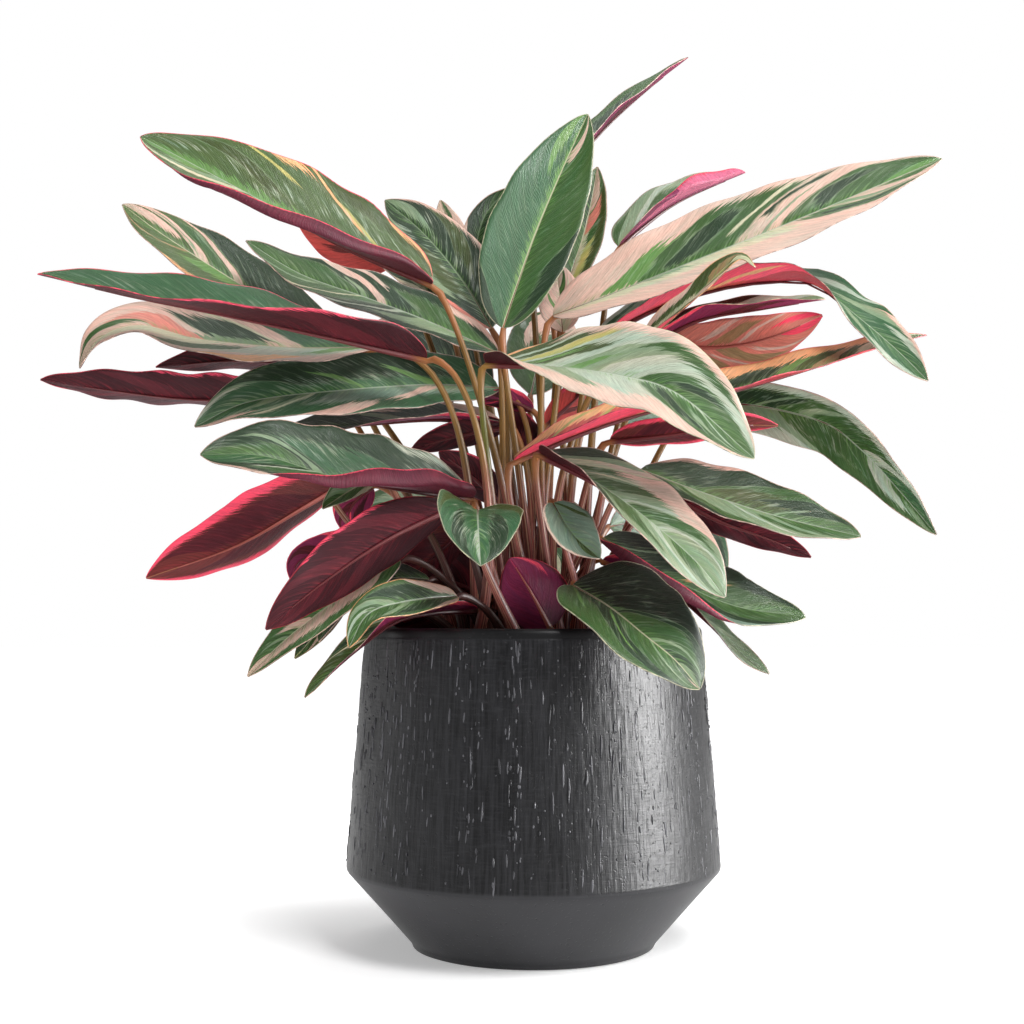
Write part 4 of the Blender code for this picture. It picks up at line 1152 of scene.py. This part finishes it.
def pot_finish(name, tones, rough):
    """Clay brushed upright between shoulder and lip, plain on the foot and dark on the lip. The foot is
    painted lighter as painted reflection of the white floor, and the pits darker as painted shade.
    """
    brush = Brush(name)
    times, rise, mix = brush.times, brush.rise, brush.mix
    x, y, z = brush.place()
    angle = brush.math("ARCTAN2", y, x)
    turn_x = brush.math("COSINE", angle)
    turn_y = brush.math("SINE", angle)
    wall_start, wall_end = (SHOULDER_HEIGHT - 0.5) * MM, (SHOULDER_HEIGHT + 1.5) * MM
    lip_start, lip_end = (POT_HEIGHT - LIP_BAND - 1) * MM, (POT_HEIGHT - LIP_BAND + 1) * MM
    wall = times(rise(z, wall_start, wall_end), rise(z, lip_end, lip_start))
    lip = rise(z, lip_start, lip_end)
    rings = brush.noise((turn_x, 9.0), (turn_y, 9.0), (z, 560.0), detail=3.0, rough=0.6)
    brushed = brush.noise((turn_x, 62.0), (turn_y, 62.0), (z, 26.0), detail=4.0, rough=0.65)
    pits = brush.noise((x, 420.0), (y, 420.0), (z, 420.0))
    clouds = brush.noise((x, 16.0), (y, 16.0), (z, 10.0), detail=3.0, rough=0.6)
    combed = mix(rise(brushed, 0.3, 0.7), *tones)
    combed = mix(times(rise(rings, 0.5, 0.75), 0.35), combed, RING_TONE)
    # The foot is painted lighter than the wall, as painted reflection of the white floor
    plain = mix(lip, mix(clouds, *FOOT_CLAY_PAINTED_REFLECTION), LIP_TONE)
    # Pits are painted darker, as painted shade in the hollows
    colour = mix(rise(pits, 0.70, 0.78), mix(wall, plain, combed), PIT_PAINTED_SHADE)
    lines = times(brush.plus(brushed, times(rings, 0.5)), times(wall, 0.9, 0.1))
    relief = brush.plus(lines, times(rise(pits, 0.62, 0.78), -0.5))
    return brush.finish(colour, times(clouds, 0.20, rough), 0.20, relief, 0.8, 0.00045)


def pot_outline():
    """Radius and height from the middle of the foot, up the outside and down to the floor inside."""
    outline = [(0, 0), (FOOT_RADIUS - FOOT_ROUND, 0), (FOOT_RADIUS - 1.2, 1.0), (FOOT_RADIUS, FOOT_ROUND)]
    foot = Vector((FOOT_RADIUS, FOOT_ROUND))
    shoulder = Vector((SHOULDER_RADIUS - 0.9, SHOULDER_HEIGHT - 2.2))
    outline += [foot.lerp(shoulder, step / FOOT_ROWS) for step in range(1, FOOT_ROWS + 1)]
    outline += [(SHOULDER_RADIUS - 0.2, SHOULDER_HEIGHT - 1.0), (SHOULDER_RADIUS, SHOULDER_HEIGHT + 0.4)]
    for row in range(1, WALL_ROWS + 1):
        height = SHOULDER_HEIGHT + (POT_HEIGHT - LIP_ROUND - SHOULDER_HEIGHT) * row / WALL_ROWS
        outline.append((wall_radius(height), height))
    for step in range(1, LIP_ROWS):
        angle = math.pi * step / LIP_ROWS
        outline.append((RIM_RADIUS - LIP_ROUND + LIP_ROUND * math.cos(angle),
                        POT_HEIGHT - LIP_ROUND + LIP_ROUND * math.sin(angle)))
    outline += [(hollow_radius(height), height)
                for height in (SOIL_HEIGHT + 12, SOIL_HEIGHT, SHOULDER_HEIGHT, POT_FLOOR)]
    return outline + [(0, POT_FLOOR)]


def make_pot():
    """The turned pot, a little uneven by hand, and the dashes that stand proud of its wall."""
    bm = turned(pot_outline(), POT_COLUMNS)
    for vert in bm.verts:
        radius = vert.co.xy.length / MM
        height = vert.co.z / MM
        if height < 2 or radius < hollow_radius(max(height, POT_FLOOR)) + 2:
            continue
        way = vert.co.xy.normalized()
        swell = 0.45 * noise.noise(Vector((3 * way.x, 3 * way.y, height / 45)))
        if SHOULDER_HEIGHT + 1 < height < POT_HEIGHT - LIP_ROUND - 4:
            for size, around, upward in WALL_SWELLS:
                swell += size * noise.noise(Vector((around * way.x, around * way.y, height / upward)))
        vert.co.xy += way * (swell * MM)
    piece_from("pot_wall", bm, [pot_finish("charcoal_clay", WALL_CLAY, 0.29)], "pot")

    chance = random.Random(DASH_SEED)
    grain = bmesh.new()
    bmesh.ops.create_uvsphere(grain, u_segments=8, v_segments=5, radius=MM)
    slope = math.atan2(SHOULDER_RADIUS - RIM_RADIUS, POT_HEIGHT - SHOULDER_HEIGHT)
    lanes = [chance.uniform(0, math.tau) for lane in range(DASH_LANES)]
    places = []
    for number in range(DASHES):
        half_length = chance.choice(DASH_LENGTHS) * chance.uniform(0.7, 1.3)
        size = (DASH_RISE * chance.uniform(0.5, 1.2), chance.uniform(0.35, 0.85), half_length)
        height = chance.uniform(SHOULDER_HEIGHT + 3, POT_HEIGHT - LIP_BAND - 4)
        stand = Matrix.Rotation(chance.choice(lanes) + chance.gauss(0, 0.012), 4, "Z")
        stand @= Matrix.Translation((wall_radius(height) * MM, 0, height * MM))
        stand @= Matrix.Rotation(-slope, 4, "Y") @ Matrix.Rotation(chance.uniform(-0.09, 0.09), 4, "X")
        places.append(stand @ Matrix.Diagonal((*size, 1)))
    dashes = bmesh.new()
    add_copies(dashes, grain, places)
    # The dashes' lighter tones are painted glints on them
    piece_from("pot_dashes", dashes, [pot_finish("dash_clay_painted_glint", DASH_CLAY_PAINTED_GLINT, 0.25)], "pot")


def soil_finish(name, tones, fine):
    """Crumbs from dark to pale; fine says how many go into a metre."""
    brush = Brush(name)
    place = brush.node("TexCoord").outputs["Object"]
    inputs = {"Vector": place, "Scale": fine, "Detail": 5.0, "Roughness": 0.7}
    crumbs = brush.node("TexNoise", inputs).outputs[0]
    colour = brush.mix(brush.rise(crumbs, 0.35, 0.7), *tones)
    return brush.finish(colour, 0.95, relief=crumbs, strength=0.9, depth=0.001)


def make_soil():
    """Loose soil with a rough top, and bark chips and lumps lying on it."""
    chance = random.Random(CHIP_SEED)
    edge = hollow_radius(SOIL_HEIGHT) - CLEARANCE
    outline = [(0, POT_FLOOR + CLEARANCE), (hollow_radius(POT_FLOOR) - CLEARANCE, POT_FLOOR + CLEARANCE),
               (hollow_radius(SHOULDER_HEIGHT) - CLEARANCE, SHOULDER_HEIGHT), (edge, SOIL_HEIGHT)]
    outline += [(edge * (1 - step / SOIL_RINGS), SOIL_HEIGHT + SOIL_CROWN * min(1, step / 8))
                for step in range(1, SOIL_RINGS)]
    outline.append((0, SOIL_HEIGHT + SOIL_CROWN))
    bm = turned(outline, SOIL_COLUMNS)
    for vert in bm.verts:
        if vert.co.z > SOIL_HEIGHT * MM:
            place = vert.co / MM
            vert.co.z += sum(height * noise.noise(place / width) for height, width in SOIL_LUMPS) * MM
    piece_from("soil_bed", bm, [soil_finish("soil", SOIL_TONES, 260.0)], "soil")

    chips = bmesh.new()
    for kind in range(CHIP_SHAPES):
        lump = bmesh.new()
        bmesh.ops.create_icosphere(lump, subdivisions=1, radius=MM)
        for vert in lump.verts:
            vert.co *= chance.uniform(0.75, 1.15)
        places = []
        for number in range(CHIPS // CHIP_SHAPES):
            size = chance.uniform(2.0, 6.5)
            angle = chance.uniform(0, math.tau)
            reach = (edge - 9) * math.sqrt(chance.random())
            rise = SOIL_HEIGHT + SOIL_CROWN * min(1, (edge - reach) / 30) + 0.25 * size
            place = Matrix.Translation(Vector((reach * math.cos(angle), reach * math.sin(angle), rise)) * MM)
            place @= Matrix.Rotation(chance.uniform(0, math.tau), 4, "Z")
            place @= Matrix.Rotation(chance.uniform(-0.5, 0.5), 4, "X")
            flat = (size, size * chance.uniform(0.45, 0.9), size * chance.uniform(0.25, 0.6), 1)
            places.append(place @ Matrix.Diagonal(flat))
        add_copies(chips, lump, places)
    piece_from("bark_chips", chips, [soil_finish("bark", BARK_TONES, 150.0)], "soil")


def make_camera():
    data = bpy.data.cameras.new("front_view")
    data.sensor_width = SENSOR
    data.lens = SENSOR * -FRONT_VIEW.y * MM / METRES_A_PIXEL / IMAGE_SIDE
    data.shift_x = (IMAGE_SIDE / 2 - AXIS_PIXEL) / IMAGE_SIDE
    data.shift_y = (HORIZON_PIXEL - IMAGE_SIDE / 2) / IMAGE_SIDE
    data.clip_start = 0.05
    camera = placed("front_view", data)
    camera.location = FRONT_VIEW * MM
    camera.rotation_euler = (math.pi / 2, 0, 0)
    bpy.context.scene.camera = camera


def make_studio():
    """White all round; the floor glows with painted light that grows away from the pot, so that it blends
    into the background there and its cast shadows show only near the pot.
    """
    bm = bmesh.new()
    bmesh.ops.create_grid(bm, x_segments=1, y_segments=1, size=FLOOR_REACH)
    floor = placed("floor", mesh_from(bm, "floor"))
    brush = Brush("floor_painted_glow")
    place = brush.node("TexCoord").outputs["Object"]
    away = brush.node("VectorMath", {0: place}, operation="LENGTH").outputs["Value"]
    # Painted glow: the floor's emission rises with distance from the pot
    glow = brush.times(brush.rise(away, 0.12, 0.42), 0.64, 0.33)
    brush.put(brush.shader.inputs["Emission Color"], (1, 1, 1))
    brush.put(brush.shader.inputs["Emission Strength"], glow)
    floor.data.materials.append(brush.finish((0.85, 0.85, 0.85), 0.7))

    # The background is white to the camera, and dimmer as a light
    world = bpy.data.worlds.new("studio")
    world.use_nodes = True
    tree = world.node_tree
    backdrop = tree.nodes["Background"]
    backdrop.inputs["Color"].default_value = (1, 1, 1, 1)
    strength = tree.nodes.new("ShaderNodeMath")
    strength.operation = "MULTIPLY_ADD"
    tree.links.new(tree.nodes.new("ShaderNodeLightPath").outputs["Is Camera Ray"], strength.inputs[0])
    strength.inputs[1].default_value = 1.0 - ROOM_LIGHT
    strength.inputs[2].default_value = ROOM_LIGHT
    tree.links.new(strength.outputs[0], backdrop.inputs["Strength"])
    bpy.context.scene.world = world

    for name, place, aim, size, watts, lights_all in SOFTBOXES:
        data = bpy.data.lights.new(name, "AREA")
        data.shape = "RECTANGLE"
        data.size, data.size_y = size
        data.energy = watts
        light = placed(name, data)
        light.location = place
        light.rotation_euler = (Vector(place) - Vector((0, 0, aim))).to_track_quat("Z", "Y").to_euler()
        light.visible_diffuse = lights_all
    bpy.context.scene.view_settings.view_transform = "Standard"


make_camera()
make_studio()
make_pot()
make_soil()
make_leaves()
